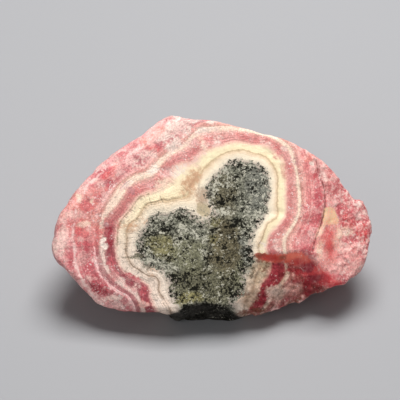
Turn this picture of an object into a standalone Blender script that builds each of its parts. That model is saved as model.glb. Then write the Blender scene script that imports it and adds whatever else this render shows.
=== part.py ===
"""A rhodochrosite specimen: one rough chunk of stone with a nearly flat banded face.

The chunk is shaped lying on its back, with the banded face up: X runs across the face,
Y up the face and Z out of it. It is then tilted onto the flat base facet it rests on,
whose middle is the origin.
"""

import math

import bmesh
import bpy
from mathutils import Matrix, Vector, noise

MM = 0.001

# Driving dimensions
FACE_TILT = math.radians(52.0)  # of the banded face's normal above the ground
FACE_MIDDLE = Vector((0.3, -3.6, 26.0)) * MM  # from the middle of the base facet
FRONT_MARGIN = 4.0  # millimetres of raw stone in front of the face before it is cut
THICKNESS = 31.0  # millimetres from the banded face to the back
BISECT_TOLERANCE = 0.001 * MM
GRAIN_VOXEL = 0.8 * MM
TRIANGLE_TARGET = 9800

# Sizes of the forms of the broken surface
SWELL_SIZE = 14.0 * MM
CHIP_SIZE = 8.0 * MM
LUMP_SIZE = 5.5 * MM
PIT_SIZE = 3.0 * MM

# Outline of the banded face, millimetres across and up from its middle, clockwise from the left tip
OUTLINE = (
    (-45.4, -8.5), (-44.5, -3.0), (-42.8, 1.8), (-40.0, 6.9), (-35.8, 11.2),
    (-30.7, 16.7), (-26.1, 20.0), (-20.7, 23.8), (-16.0, 27.7), (-11.3, 29.8),
    (-8.0, 28.5), (-1.0, 28.5), (6.0, 27.0), (12.2, 25.4), (19.8, 23.2),
    (24.7, 21.3), (31.6, 16.8), (36.0, 12.0), (41.0, 6.0), (43.8, 4.0),
    (45.3, -2.6), (44.8, -8.0), (42.8, -14.3), (37.5, -18.6), (32.5, -20.2),
    (26.7, -22.5), (19.4, -25.0), (12.0, -25.8), (4.4, -29.4), (-4.0, -29.4),
    (-10.4, -26.5), (-16.6, -26.0), (-24.6, -26.4), (-31.4, -25.2), (-37.0, -19.5),
    (-40.8, -14.8), (-43.8, -12.0),
)


class FracturePlane:
    """A flat break that trims the chunk: where it passes and which way it faces.

    heading turns anticlockwise from the face's right; undercut is how far the break leans in
    under the face, 90 degrees being parallel to the face at the back of the stone.
    """

    def __init__(self, across, up, depth, heading, undercut):
        lean = math.radians(undercut)
        turn = math.radians(heading)
        self.point = face_point(across, up, depth)
        self.normal = Vector((
            math.cos(turn) * math.cos(lean),
            math.sin(turn) * math.cos(lean),
            -math.sin(lean),
        ))


def face_point(across, up, depth=0.0):
    """Give the point at millimetres across and up the face and below it."""
    return Vector((across, up, -depth)) * MM


def clear_scene():
    """Remove every object of the scene."""
    for thing in list(bpy.data.objects):
        bpy.data.objects.remove(thing, do_unlink=True)


def stone_material():
    """Make the stone's plain pink material."""
    material = bpy.data.materials.new("rhodochrosite")
    material.use_nodes = True
    shader = material.node_tree.nodes["Principled BSDF"]
    shader.inputs["Base Color"].default_value = (0.62, 0.26, 0.26, 1.0)
    shader.inputs["Roughness"].default_value = 0.6
    shader.inputs["Metallic"].default_value = 0.0
    return material


def new_object(name, bm):
    """Turn a bmesh into an object of the scene."""
    mesh = bpy.data.meshes.new(name)
    bm.to_mesh(mesh)
    bm.free()
    thing = bpy.data.objects.new(name, mesh)
    bpy.context.scene.collection.objects.link(thing)
    return thing


def trim(bm, point, normal):
    """Cut off what lies beyond a plane and close the cut."""
    everything = bm.verts[:] + bm.edges[:] + bm.faces[:]
    result = bmesh.ops.bisect_plane(
        bm, geom=everything, dist=BISECT_TOLERANCE,
        plane_co=point, plane_no=normal, clear_outer=True,
    )
    rim = [part for part in result["geom_cut"] if isinstance(part, bmesh.types.BMEdge)]
    if rim:
        bmesh.ops.holes_fill(bm, edges=rim)


def raw_chunk():
    """Extrude the outline from in front of the face to the back of the stone."""
    bm = bmesh.new()
    ring = [bm.verts.new(face_point(across, up, -FRONT_MARGIN)) for across, up in OUTLINE]
    front = bm.faces.new(ring)
    front.normal_update()
    if front.normal.z < 0.0:
        front.normal_flip()
    sides = bmesh.ops.extrude_face_region(bm, geom=[front])
    back = [part for part in sides["geom"] if isinstance(part, bmesh.types.BMVert)]
    bmesh.ops.translate(bm, verts=back, vec=face_point(0.0, 0.0, THICKNESS + FRONT_MARGIN))
    bmesh.ops.recalc_face_normals(bm, faces=bm.faces[:])
    return bm


def front_breaks():
    """List the planes of the banded face, the facet on its right and its bevelled edges."""
    return (
        FracturePlane(0.0, 0.0, 0.0, 0.0, -90.0),  # banded face
        FracturePlane(31.0, 0.0, 0.0, -6.0, -68.0),  # right facet
        FracturePlane(-25.0, 15.0, 0.0, 129.6, -62.0),  # upper left bevel
        FracturePlane(-24.0, -22.3, 0.0, 248.0, -64.0),  # lower left bevel
        FracturePlane(-43.0, -4.0, 0.0, 170.0, -50.0),  # left tip
    )


def hidden_breaks():
    """List the planes of the sides and the back, which lean in under the face."""
    return (
        FracturePlane(-28.6, -25.5, 3.5, 249.0, 39.0),  # left underside
        FracturePlane(-39.6, -17.1, 3.0, 223.0, 32.0),  # below the left tip
        FracturePlane(28.5, -21.9, 7.0, 296.0, 37.0),  # right underside
        FracturePlane(40.6, -16.9, 7.0, 310.0, 30.0),  # below the right tip
        FracturePlane(-44.8, -6.0, 5.0, 172.0, 26.0),  # left end
        FracturePlane(-37.4, 9.9, 5.0, 143.0, 17.0),  # upper left side
        FracturePlane(-22.4, 23.3, 7.0, 126.0, 9.0),  # beside the peak
        FracturePlane(8.0, 26.8, 9.0, 77.0, 12.0),  # top
        FracturePlane(36.1, 12.3, 10.0, 44.0, 16.0),  # upper right side
        FracturePlane(45.6, -4.0, 8.0, -6.0, 28.0),  # right end
        FracturePlane(0.0, 27.6, 16.0, 94.0, 52.0),  # top of the back
        FracturePlane(-24.0, 4.0, 27.0, 168.0, 58.0),  # left of the back
        FracturePlane(24.0, 4.0, 27.0, 22.0, 60.0),  # right of the back
    )


def sized_block(size, centre):
    """Make a bmesh block of a size in millimetres about a point of the lying chunk."""
    bm = bmesh.new()
    bmesh.ops.create_cube(bm, size=1.0)
    bmesh.ops.scale(bm, vec=Vector(size) * MM, verts=bm.verts[:])
    bmesh.ops.translate(bm, vec=centre, verts=bm.verts[:])
    return bm


def recess_cutter(name, floor):
    """Make a wedge of what is missing at the lower right, down to one floor plane.

    The ledge's sloping wall bounds it above, and the wall below the right facet on its right.
    """
    bm = sized_block((70.0, 70.0, 40.0), face_point(35.0, -38.0))
    ledge = FracturePlane(12.6, -10.0, 0.0, 274.0, -52.0)
    facet_wall = FracturePlane(31.0, -12.6, 0.0, 224.0, -44.0)
    for plane in (floor, ledge, facet_wall):
        trim(bm, plane.point, -plane.normal)
    bmesh.ops.recalc_face_normals(bm, faces=bm.faces[:])
    return new_object(name, bm)


def scoop_cutter():
    """Make the large round cutter that leaves the shell-shaped break under the lower rim."""
    radius = 37.0 * MM
    lean = math.radians(-18.0)
    rim_up = -24.6 * MM
    bm = bmesh.new()
    bmesh.ops.create_cone(
        bm, cap_ends=True, segments=72, radius1=radius, radius2=radius, depth=80.0 * MM,
        matrix=Matrix.Rotation(lean, 4, "X"),
    )
    centre = (0.5 * MM, rim_up - radius / math.cos(lean), 0.0)
    bmesh.ops.translate(bm, vec=centre, verts=bm.verts[:])
    return new_object("scoop_cutter", bm)


def ground_cutter():
    """Make the block whose top is the plane that the base facet lies in."""
    side = 200.0
    bm = sized_block((side, side, side), Vector((0.0, 0.0, -side / 2.0)) * MM)
    return new_object("ground_cutter", bm)


def cut(thing, cutter):
    """Take a cutter's volume out of an object."""
    cutter.hide_render = True
    cutter.display_type = "WIRE"
    modifier = thing.modifiers.new(cutter.name, "BOOLEAN")
    modifier.operation = "DIFFERENCE"
    modifier.solver = "EXACT"
    modifier.object = cutter


def bake_modifiers(thing):
    """Replace an object's mesh with what its modifiers make of it."""
    evaluated = thing.evaluated_get(bpy.context.evaluated_depsgraph_get())
    mesh = bpy.data.meshes.new_from_object(evaluated)
    thing.modifiers.clear()
    thing.data = mesh


def smooth_step(low, high, value):
    """Rise smoothly from 0 at low to 1 at high."""
    share = min(1.0, max(0.0, (value - low) / (high - low)))
    return share * share * (3.0 - 2.0 * share)


def chip_height(point, chip_size):
    """Give the height of small flat breaks, each a cell with a tilt of its own, -1 to 1."""
    _, seeds = noise.voronoi(point / chip_size)
    nearest = seeds[0]
    tilt = noise.cell_vector(nearest * 7.3) * 2.0 - Vector((1.0, 1.0, 1.0))
    return tilt.dot(point / chip_size - nearest)


def relief(point):
    """Give how far the broken surface stands out at a point of the lying chunk.

    The banded face stays nearly flat; the sides and the back are lumpy and chipped.
    """
    depth = -point.z
    roughness = smooth_step(1.0 * MM, 7.0 * MM, depth)
    swell = noise.noise(point / SWELL_SIZE) * (0.25 + 0.95 * roughness) * MM
    lumps = noise.noise(point / LUMP_SIZE) * (0.22 + 0.45 * roughness) * MM
    chips = chip_height(point, CHIP_SIZE) * (0.15 + 0.95 * roughness) * MM
    pits = -max(0.0, noise.noise(point / PIT_SIZE) - 0.25) * 0.8 * MM
    return swell + lumps + chips + pits


def roughen(thing):
    """Push every vertex out or in along its normal by the relief."""
    bm = bmesh.new()
    bm.from_mesh(thing.data)
    bm.normal_update()
    moves = [(vert, vert.normal * relief(vert.co)) for vert in bm.verts]
    for vert, move in moves:
        vert.co += move
    bmesh.ops.smooth_vert(
        bm, verts=bm.verts[:], factor=0.3,
        use_axis_x=True, use_axis_y=True, use_axis_z=True,
    )
    bm.to_mesh(thing.data)
    bm.free()


def voxel_remesh(thing):
    """Wrap an object's mesh in an even net of small quads."""
    modifier = thing.modifiers.new("even_net", "REMESH")
    modifier.mode = "VOXEL"
    modifier.voxel_size = GRAIN_VOXEL


def decimate(thing, triangles):
    """Thin an object's mesh down to about a number of triangles."""
    thing.data.calc_loop_triangles()
    modifier = thing.modifiers.new("thin_out", "DECIMATE")
    modifier.ratio = triangles / len(thing.data.loop_triangles)
    modifier.use_collapse_triangulate = True


def build_stone():
    """Break the chunk to shape, roughen it, tilt it and cut the flat base facet."""
    bm = raw_chunk()
    for plane in front_breaks() + hidden_breaks():
        trim(bm, plane.point, plane.normal)
    stone = new_object("rhodochrosite_slice", bm)
    cut(stone, recess_cutter("recess_cutter", FracturePlane(12.6, -10.0, 0.0, -15.0, -74.0)))
    cut(stone, recess_cutter("lower_recess_cutter", FracturePlane(20.0, -19.0, 2.7, 303.0, -55.0)))
    cut(stone, scoop_cutter())
    voxel_remesh(stone)
    bake_modifiers(stone)
    roughen(stone)
    tilt = Matrix.Rotation(math.pi / 2.0 - FACE_TILT, 4, "X")
    stone.data.transform(Matrix.Translation(FACE_MIDDLE) @ tilt)
    decimate(stone, TRIANGLE_TARGET)
    cut(stone, ground_cutter())
    stone.data.materials.clear()
    stone.data.materials.append(stone_material())
    return stone


clear_scene()
build_stone()
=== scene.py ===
"""Looks of a rhodochrosite specimen: a rough chunk of stone with one banded face.

The solid of the stone is copied and wrapped in a fine net, its broken surface is carved in
the relief of each growth zone, and one procedural stone material follows the zones: a dark
granular matrix, cream bands with growth lines, red, white and pink bands, and a rough rim.
Places on the banded face are millimetres across and up it, seen from the front, from its middle.
"""

import logging
import math
from dataclasses import dataclass, field
from enum import Enum, IntEnum
from functools import reduce

import bpy
import numpy as np
from mathutils import Matrix, Vector, noise

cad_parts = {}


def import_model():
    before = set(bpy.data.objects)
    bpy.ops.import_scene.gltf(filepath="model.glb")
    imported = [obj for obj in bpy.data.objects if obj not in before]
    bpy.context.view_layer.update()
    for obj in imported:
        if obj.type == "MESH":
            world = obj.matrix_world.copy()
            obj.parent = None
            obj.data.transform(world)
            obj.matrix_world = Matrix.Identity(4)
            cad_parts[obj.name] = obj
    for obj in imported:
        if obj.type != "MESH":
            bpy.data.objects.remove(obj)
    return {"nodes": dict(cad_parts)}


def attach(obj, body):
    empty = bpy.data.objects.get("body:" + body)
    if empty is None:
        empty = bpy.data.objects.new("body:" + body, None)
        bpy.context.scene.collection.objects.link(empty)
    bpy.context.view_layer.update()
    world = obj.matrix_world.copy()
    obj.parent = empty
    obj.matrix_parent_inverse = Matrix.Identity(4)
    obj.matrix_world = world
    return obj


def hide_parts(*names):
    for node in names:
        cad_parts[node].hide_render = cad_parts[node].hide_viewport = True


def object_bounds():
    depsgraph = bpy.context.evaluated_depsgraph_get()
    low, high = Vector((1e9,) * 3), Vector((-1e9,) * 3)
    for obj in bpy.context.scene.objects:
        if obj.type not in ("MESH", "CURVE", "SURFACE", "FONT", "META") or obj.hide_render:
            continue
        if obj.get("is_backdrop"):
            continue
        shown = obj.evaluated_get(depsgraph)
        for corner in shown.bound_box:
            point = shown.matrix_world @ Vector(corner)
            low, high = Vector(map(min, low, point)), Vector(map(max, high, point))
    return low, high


LOG = logging.getLogger("rhodochrosite")
MM = 0.001
NODE = "rhodochrosite_slice"

Array = np.ndarray
Socket = bpy.types.NodeSocket
Sockets = bpy.types.bpy_prop_collection
Point = tuple[float, float]
Colour = tuple[int, int, int]


class Boundary(IntEnum):
    """The growth boundaries, from the matrix outwards, by their band position."""

    MATRIX_EDGE = 1
    GROWTH_LINE = 2
    CREAM_EDGE = 3
    RED_EDGE = 4
    WHITE_EDGE = 5
    LIGHT_LINE = 6
    OUTER_LINE = 7


# The band positions between which a zone of the material begins or ends.
CREAM_END = (3.2, 2.8)
PINK_START = (2.95, 3.15)
RED_START = (2.95, 3.10)
RED_END = (4.02, 3.90)
WHITE_START = (3.9, 4.1)
WHITE_END = (5.1, 4.9)
RIM_START = (5.8, 6.4)
OUTER_START = (6.0, 6.3)

# The distances in millimetres between which a thin drawn line fades in.
LINE_EDGE = (0.34, 0.04)

# The levels between which most of a smooth noise lies.
NOISE_SPAN = (0.36, 0.64)


class Tone(Enum):
    """Colours of the patches on the stone, as a screen shows them."""

    WHITE = (246, 228, 214)
    CREAM = (244, 214, 190)
    YELLOW = (250, 236, 196)
    PALE = (238, 200, 188)
    PEACH = (244, 198, 164)
    TAN = (208, 164, 130)
    OLIVE_STONE = (196, 178, 146)
    SALMON = (228, 140, 128)
    BLUSH = (250, 188, 178)
    ROSE = (222, 160, 155)
    MAUVE = (186, 132, 132)
    RED = (196, 92, 98)
    SCARLET = (208, 72, 74)
    CRIMSON = (152, 46, 58)
    EMBER = (218, 88, 70)
    CORAL = (255, 142, 120)
    FLAME = (226, 74, 76)
    # Rust is also laid as painted shade under the ledge and along the recess's lower rim
    RUST = (132, 84, 66)
    BLACK = (34, 34, 28)
    # Painted shade of the underside, near black
    COAL = (48, 46, 42)
    BARK = (98, 94, 72)
    MOSS = (122, 120, 94)
    OLIVE = (130, 122, 80)
    BROWN = (96, 86, 62)
    STEEL = (114, 113, 99)
    SLATE = (122, 122, 114)
    ASH = (176, 178, 164)


# Boundaries on the banded face, clockwise from the left, closed far below the rim
OUTLINES: dict[Boundary, tuple[Point, ...]] = {
    Boundary.MATRIX_EDGE: (
        (-20.7, -8.1), (-20.3, -6.1), (-19.3, -3.8), (-18.2, -2.1), (-17.3, 0.1), (-15.7, 0.9),
        (-13.1, 0.9), (-11.1, 1.5), (-9.5, 2.4), (-7.8, 2.5), (-6.1, 1.4), (-4.4, -0.2),
        (-2.7, -1.2), (-0.9, -0.5), (0.9, 1.2), (0.3, 3.6), (-1.4, 6.0), (-1.3, 8.3),
        (-0.4, 10.6), (1.6, 12.4), (3.2, 14.2), (4.9, 15.8), (7.8, 16.5), (10.3, 15.9),
        (12.6, 15.2), (14.5, 14.2), (15.8, 12.5), (16.1, 10.0), (16.4, 6.9), (15.7, 4.1),
        (15.2, 1.2), (14.3, -0.8), (12.8, -2.6), (11.5, -4.5), (10.9, -7.2), (11.9, -10.0),
        (11.9, -12.2), (10.2, -14.2), (9.2, -15.7), (9.2, -18.2), (9.4, -20.3), (8.0, -22.2),
        (6.0, -24.4), (6.5, -31.5), (-1.6, -35.7), (-7.2, -30.9), (-8.3, -26.1), (-10.1, -23.8),
        (-11.7, -21.3), (-11.3, -18.5), (-12.6, -16.4), (-14.5, -14.7), (-17.3, -13.7),
        (-19.3, -12.3),
    ),
    Boundary.GROWTH_LINE: (
        (-24.2, -9.5), (-24.0, -6.9), (-23.7, -3.0), (-22.9, -1.4), (-21.4, -0.5), (-20.2, 1.2),
        (-19.2, 2.9), (-17.9, 4.1), (-15.1, 4.8), (-13.7, 5.2), (-12.3, 4.8), (-10.9, 5.3),
        (-7.8, 5.9), (-6.8, 6.3), (-6.2, 8.0), (-5.2, 10.0), (-3.8, 12.0), (-2.1, 13.9),
        (-0.1, 16.1), (2.1, 17.6), (4.4, 18.7), (6.9, 19.3), (9.5, 19.2), (12.0, 18.4),
        (14.5, 17.6), (16.5, 16.2), (17.8, 14.2), (18.5, 12.5), (18.8, 10.6), (18.6, 6.9),
        (18.6, 3.8), (19.0, 1.8), (17.9, -0.2), (16.2, -1.3), (15.4, -2.6), (14.4, -5.8),
        (13.5, -7.5), (13.3, -9.2), (14.0, -11.7), (13.4, -14.6), (11.7, -19.4), (10.6, -21.9),
        (9.6, -23.9), (8.0, -32.9), (-1.6, -38.8), (-9.5, -32.9), (-11.7, -26.1), (-13.6, -22.6),
        (-14.5, -21.3), (-15.0, -19.8), (-14.9, -17.7), (-15.7, -16.5), (-17.9, -16.2),
        (-20.2, -14.7), (-22.7, -13.0), (-23.7, -11.2),
    ),
    Boundary.CREAM_EDGE: (
        (-27.5, -7.5), (-27.4, -3.0), (-26.9, -0.7), (-25.0, 1.2), (-23.8, 2.8), (-22.9, 4.3),
        (-21.3, 6.2), (-18.8, 7.6), (-16.8, 8.2), (-14.0, 10.0), (-12.6, 11.7), (-11.6, 13.7),
        (-10.6, 15.2), (-8.9, 16.1), (-6.6, 16.3), (-4.9, 17.0), (-2.7, 19.3), (1.3, 20.7),
        (4.1, 21.4), (6.9, 22.0), (9.7, 21.8), (12.3, 21.1), (15.9, 20.8), (19.0, 18.2),
        (20.5, 16.5), (21.2, 14.2), (21.4, 11.4), (21.4, 7.4), (21.4, 2.7), (20.7, -0.4),
        (18.3, -3.0), (16.5, -5.0), (15.8, -8.9), (16.8, -11.7), (16.9, -14.3), (16.2, -16.2),
        (14.5, -18.5), (13.0, -21.6), (10.2, -26.5), (8.9, -32.9), (-1.6, -41.4), (-11.7, -34.3),
        (-15.1, -28.1), (-17.3, -23.6), (-17.8, -21.6), (-17.8, -19.9), (-18.8, -18.6),
        (-20.7, -17.5), (-24.5, -15.5), (-25.8, -14.4), (-26.7, -12.6), (-27.3, -10.3),
    ),
    Boundary.RED_EDGE: (
        (-30.4, -7.5), (-30.6, -2.7), (-30.0, 0.1), (-28.2, 2.1), (-25.5, 5.2), (-23.6, 8.4),
        (-21.9, 9.9), (-20.2, 10.8), (-16.5, 12.1), (-15.4, 13.4), (-13.1, 16.3), (-11.7, 17.7),
        (-9.7, 18.7), (-6.6, 20.4), (-4.1, 23.2), (-2.4, 24.1), (0.1, 24.5), (5.8, 24.8),
        (8.9, 24.5), (14.8, 23.4), (17.1, 22.7), (19.3, 21.3), (21.3, 19.6), (22.4, 17.9),
        (23.7, 13.1), (24.2, 8.6), (24.5, 4.6), (24.3, 1.5), (22.7, -1.6), (21.4, -3.6),
        (20.2, -5.7), (20.0, -7.8), (20.5, -11.2), (20.9, -14.6), (20.3, -16.9), (17.4, -20.7),
        (13.9, -26.1), (11.1, -32.9), (-1.6, -44.7), (-14.5, -35.4), (-18.5, -26.4), (-20.3, -22.2),
        (-20.9, -20.8), (-22.4, -19.8), (-26.4, -17.1), (-28.1, -15.4), (-29.2, -13.4),
        (-30.0, -10.6),
    ),
    Boundary.WHITE_EDGE: (
        (-31.9, -6.9), (-31.8, -3.3), (-31.5, -0.7), (-30.7, 2.2), (-28.9, 5.2), (-26.6, 8.9),
        (-24.7, 10.7), (-21.5, 12.6), (-19.0, 13.3), (-17.3, 14.2), (-15.1, 16.6), (-13.7, 17.9),
        (-11.7, 19.3), (-9.7, 20.1), (-8.0, 21.1), (-5.5, 24.0), (-3.8, 25.1), (-1.8, 25.8),
        (4.1, 26.2), (10.9, 25.2), (16.8, 23.8), (19.6, 22.5), (21.6, 21.0), (22.9, 19.3),
        (23.7, 17.0), (24.6, 12.2), (25.3, 7.2), (25.3, 2.9), (24.7, 0.4), (23.1, -2.7),
        (21.7, -4.7), (21.1, -6.9), (21.2, -9.5), (21.7, -12.3), (22.1, -15.1), (21.6, -17.2),
        (18.6, -21.0), (14.9, -26.4), (12.6, -32.9), (-1.6, -47.8), (-17.1, -36.0), (-19.9, -26.4),
        (-21.0, -23.0), (-23.3, -20.6), (-25.4, -19.5), (-29.2, -15.7), (-30.5, -13.4),
        (-31.5, -10.0),
    ),
    Boundary.LIGHT_LINE: (
        (-32.9, -6.9), (-32.7, -3.3), (-32.2, 0.1), (-31.3, 3.0), (-28.1, 7.9), (-26.3, 9.7),
        (-24.3, 11.6), (-19.4, 14.5), (-17.9, 15.4), (-15.7, 18.0), (-14.0, 19.4), (-11.7, 20.7),
        (-9.5, 21.8), (-6.1, 24.9), (-4.1, 26.3), (-1.6, 27.3), (1.8, 27.9), (9.7, 27.3),
        (17.3, 25.1), (20.5, 23.7), (22.7, 21.8), (24.1, 19.9), (25.0, 17.6), (26.0, 12.5),
        (26.4, 8.6), (26.4, 4.3), (26.0, 1.0), (24.3, -3.1), (23.0, -5.2), (22.4, -7.8),
        (22.7, -12.3), (23.1, -15.1), (22.0, -19.6), (17.4, -25.3), (13.7, -34.3), (-1.6, -51.2),
        (-18.5, -37.1), (-21.4, -26.4), (-23.1, -22.5), (-24.7, -21.3), (-26.9, -20.3),
        (-30.9, -16.5), (-32.2, -13.7), (-32.9, -10.3),
    ),
    Boundary.OUTER_LINE: (
        (-38.4, -7.5), (-38.7, -3.3), (-38.1, 1.8), (-37.4, 4.3), (-36.1, 7.2), (-34.6, 9.3),
        (-30.6, 12.8), (-28.1, 14.5), (-22.1, 18.6), (-18.8, 21.0), (-15.4, 23.7), (-9.5, 27.9),
        (-5.5, 30.0), (-0.4, 31.3), (5.8, 31.6), (12.3, 30.9), (18.8, 28.6), (23.8, 25.8),
        (27.8, 22.7), (30.3, 19.0), (32.0, 12.2), (32.7, 6.6), (32.5, 2.7), (32.0, 0.1),
        (29.5, -5.5), (28.8, -8.1), (28.5, -11.2), (28.6, -14.0), (26.7, -20.5), (22.1, -28.1),
        (14.2, -47.8), (-1.6, -56.3), (-21.6, -41.4), (-28.1, -28.1), (-33.7, -21.0),
        (-36.0, -17.7), (-37.4, -14.3), (-38.1, -10.9),
    ),
}

# The crack between the banded face and the facet on its right, from its top down
CRACK: tuple[Point, ...] = (
    (29.5, 16.5), (29.9, 13.9), (30.5, 12.0), (31.3, 10.0), (32.0, 8.0), (32.3, 5.8), (32.2, 3.5),
    (31.9, 1.5), (30.9, -2.1), (29.8, -4.7), (29.0, -6.7), (28.6, -9.2),
)

# A second, fainter growth line in the cream band on the left, from its foot up
SECOND_LINE: tuple[Point, ...] = (
    (-26.5, -7.8), (-26.6, -5.0), (-26.4, -2.7), (-25.8, -1.0), (-24.7, 0.4), (-23.3, 1.8),
    (-22.1, 3.5), (-21.3, 4.9), (-20.3, 5.9), (-19.3, 6.5), (-17.6, 6.9),
)


def smooth_step(low: float, high: float, values: Array) -> Array:
    """Rise smoothly from 0 at low to 1 at high, or fall where low is above high.

    Args:
        low: where the result is 0.
        high: where the result is 1.
        values: what is measured.

    Returns:
        The share between the two for each value.
    """
    share = np.clip((values - low) / (high - low), 0.0, 1.0)
    return share * share * (3.0 - 2.0 * share)


def screen_colour(colour: Colour) -> tuple[float, float, float, float]:
    """Turn a colour as a screen shows it into the linear one that a shader takes.

    Args:
        colour: red, green and blue, 0 to 255.

    Returns:
        Linear red, green, blue and a full alpha.
    """
    linear = []
    for level in colour:
        share = level / 255.0
        linear.append(share / 12.92 if share <= 0.04045 else ((share + 0.055) / 1.055) ** 2.4)
    return (linear[0], linear[1], linear[2], 1.0)


def noise_at(places: Array, size: float, seed: float) -> Array:
    """Sample smooth noise.

    Args:
        places: places in millimetres, one row of three each.
        size: size of the noise's lumps in millimetres.
        seed: shifts the noise, so that each use has its own.

    Returns:
        The noise at each place, about -1 to 1.
    """
    shifted = places / size + seed
    return np.array([noise.noise(Vector(place)) for place in shifted])


def sway_at(places: Array, size: float, reach: Array | float, seed: float,
            stride: float) -> Array:
    """Give an uneven shift across and up the face.

    Args:
        places: places in millimetres, one row of three each.
        size: size of the unevenness in millimetres.
        reach: about how far it shifts, in millimetres.
        seed: shifts the noise, so that each use has its own.
        stride: how much more the seed is for the shift up than for the one across.

    Returns:
        The shift at each place, one row of two each.
    """
    shifts = [reach * noise_at(places, size, part) for part in (seed, seed + stride)]
    return np.stack(shifts, axis=1)


def chips_at(places: Array, size: float, seed: float) -> Array:
    """Sample small flat breaks, each a cell with a tilt of its own.

    Args:
        places: places in millimetres, one row of three each.
        size: size of a chip in millimetres.
        seed: shifts the cells, so that each use has its own.

    Returns:
        The height of the broken surface at each place, about -1 to 1.
    """
    heights = []
    for place in places / size + seed:
        point = Vector(place)
        nearest = noise.voronoi(point)[1][0]
        tilt = noise.cell_vector(nearest * 7.3) * 2.0 - Vector((1.0, 1.0, 1.0))
        heights.append(tilt.dot(point - nearest))
    return np.array(heights)


@dataclass(frozen=True)
class Patch:
    """A patch of another colour on the stone: an ellipse with an uneven edge.

    Attributes:
        tone: its colour.
        across: place of its middle across the face.
        up: place of its middle up the face.
        reach: half its length.
        breadth: half its width.
        strength: how far it covers what lies under it, 0 to 1, or more for a wider full cover.
        edge: how soft its edge is, as a share of its size.
        turn: degrees that its length is turned from the across direction.
    """

    tone: Tone
    across: float
    up: float
    reach: float
    breadth: float
    strength: float
    edge: float = 0.9
    turn: float = 0.0

    def cover(self, seen: Array) -> Array:
        """Work out how much the patch covers at each place.

        Args:
            seen: places on the face, one row of two each.

        Returns:
            The cover at each place, from 0 to the strength.
        """
        angle = math.radians(self.turn)
        along = np.array((math.cos(angle), math.sin(angle)))
        aside = np.array((-math.sin(angle), math.cos(angle)))
        offset = seen - np.array((self.across, self.up))
        radius = np.hypot(offset @ along / self.reach, offset @ aside / self.breadth)
        return self.strength * smooth_step(1.0 + self.edge / 2.0, 1.0 - self.edge / 2.0, radius)


@dataclass(frozen=True)
class Facet:
    """A smooth cleavage face that the break laid open.

    Attributes:
        tone: its colour.
        strength: how far its colour covers the band's, 0 to 1.
        corners: its outline, clockwise from the left.
        soft: how far outside the outline it has faded away.
    """

    tone: Tone
    strength: float
    corners: tuple[Point, ...]
    soft: float = 0.5

    def cover(self, seen: Array) -> Array:
        """Say how far each place lies on the facet, 0 outside and 1 inside."""
        gap = Loop(self.corners).measure(seen)[0]
        return smooth_step(self.soft, -0.5 * self.soft, gap)


def patches(tone: Tone, *rows: tuple[float, ...]) -> tuple[Patch, ...]:
    """Make patches of one tone from rows of their other values."""
    return tuple(Patch(tone, *row) for row in rows)


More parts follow.
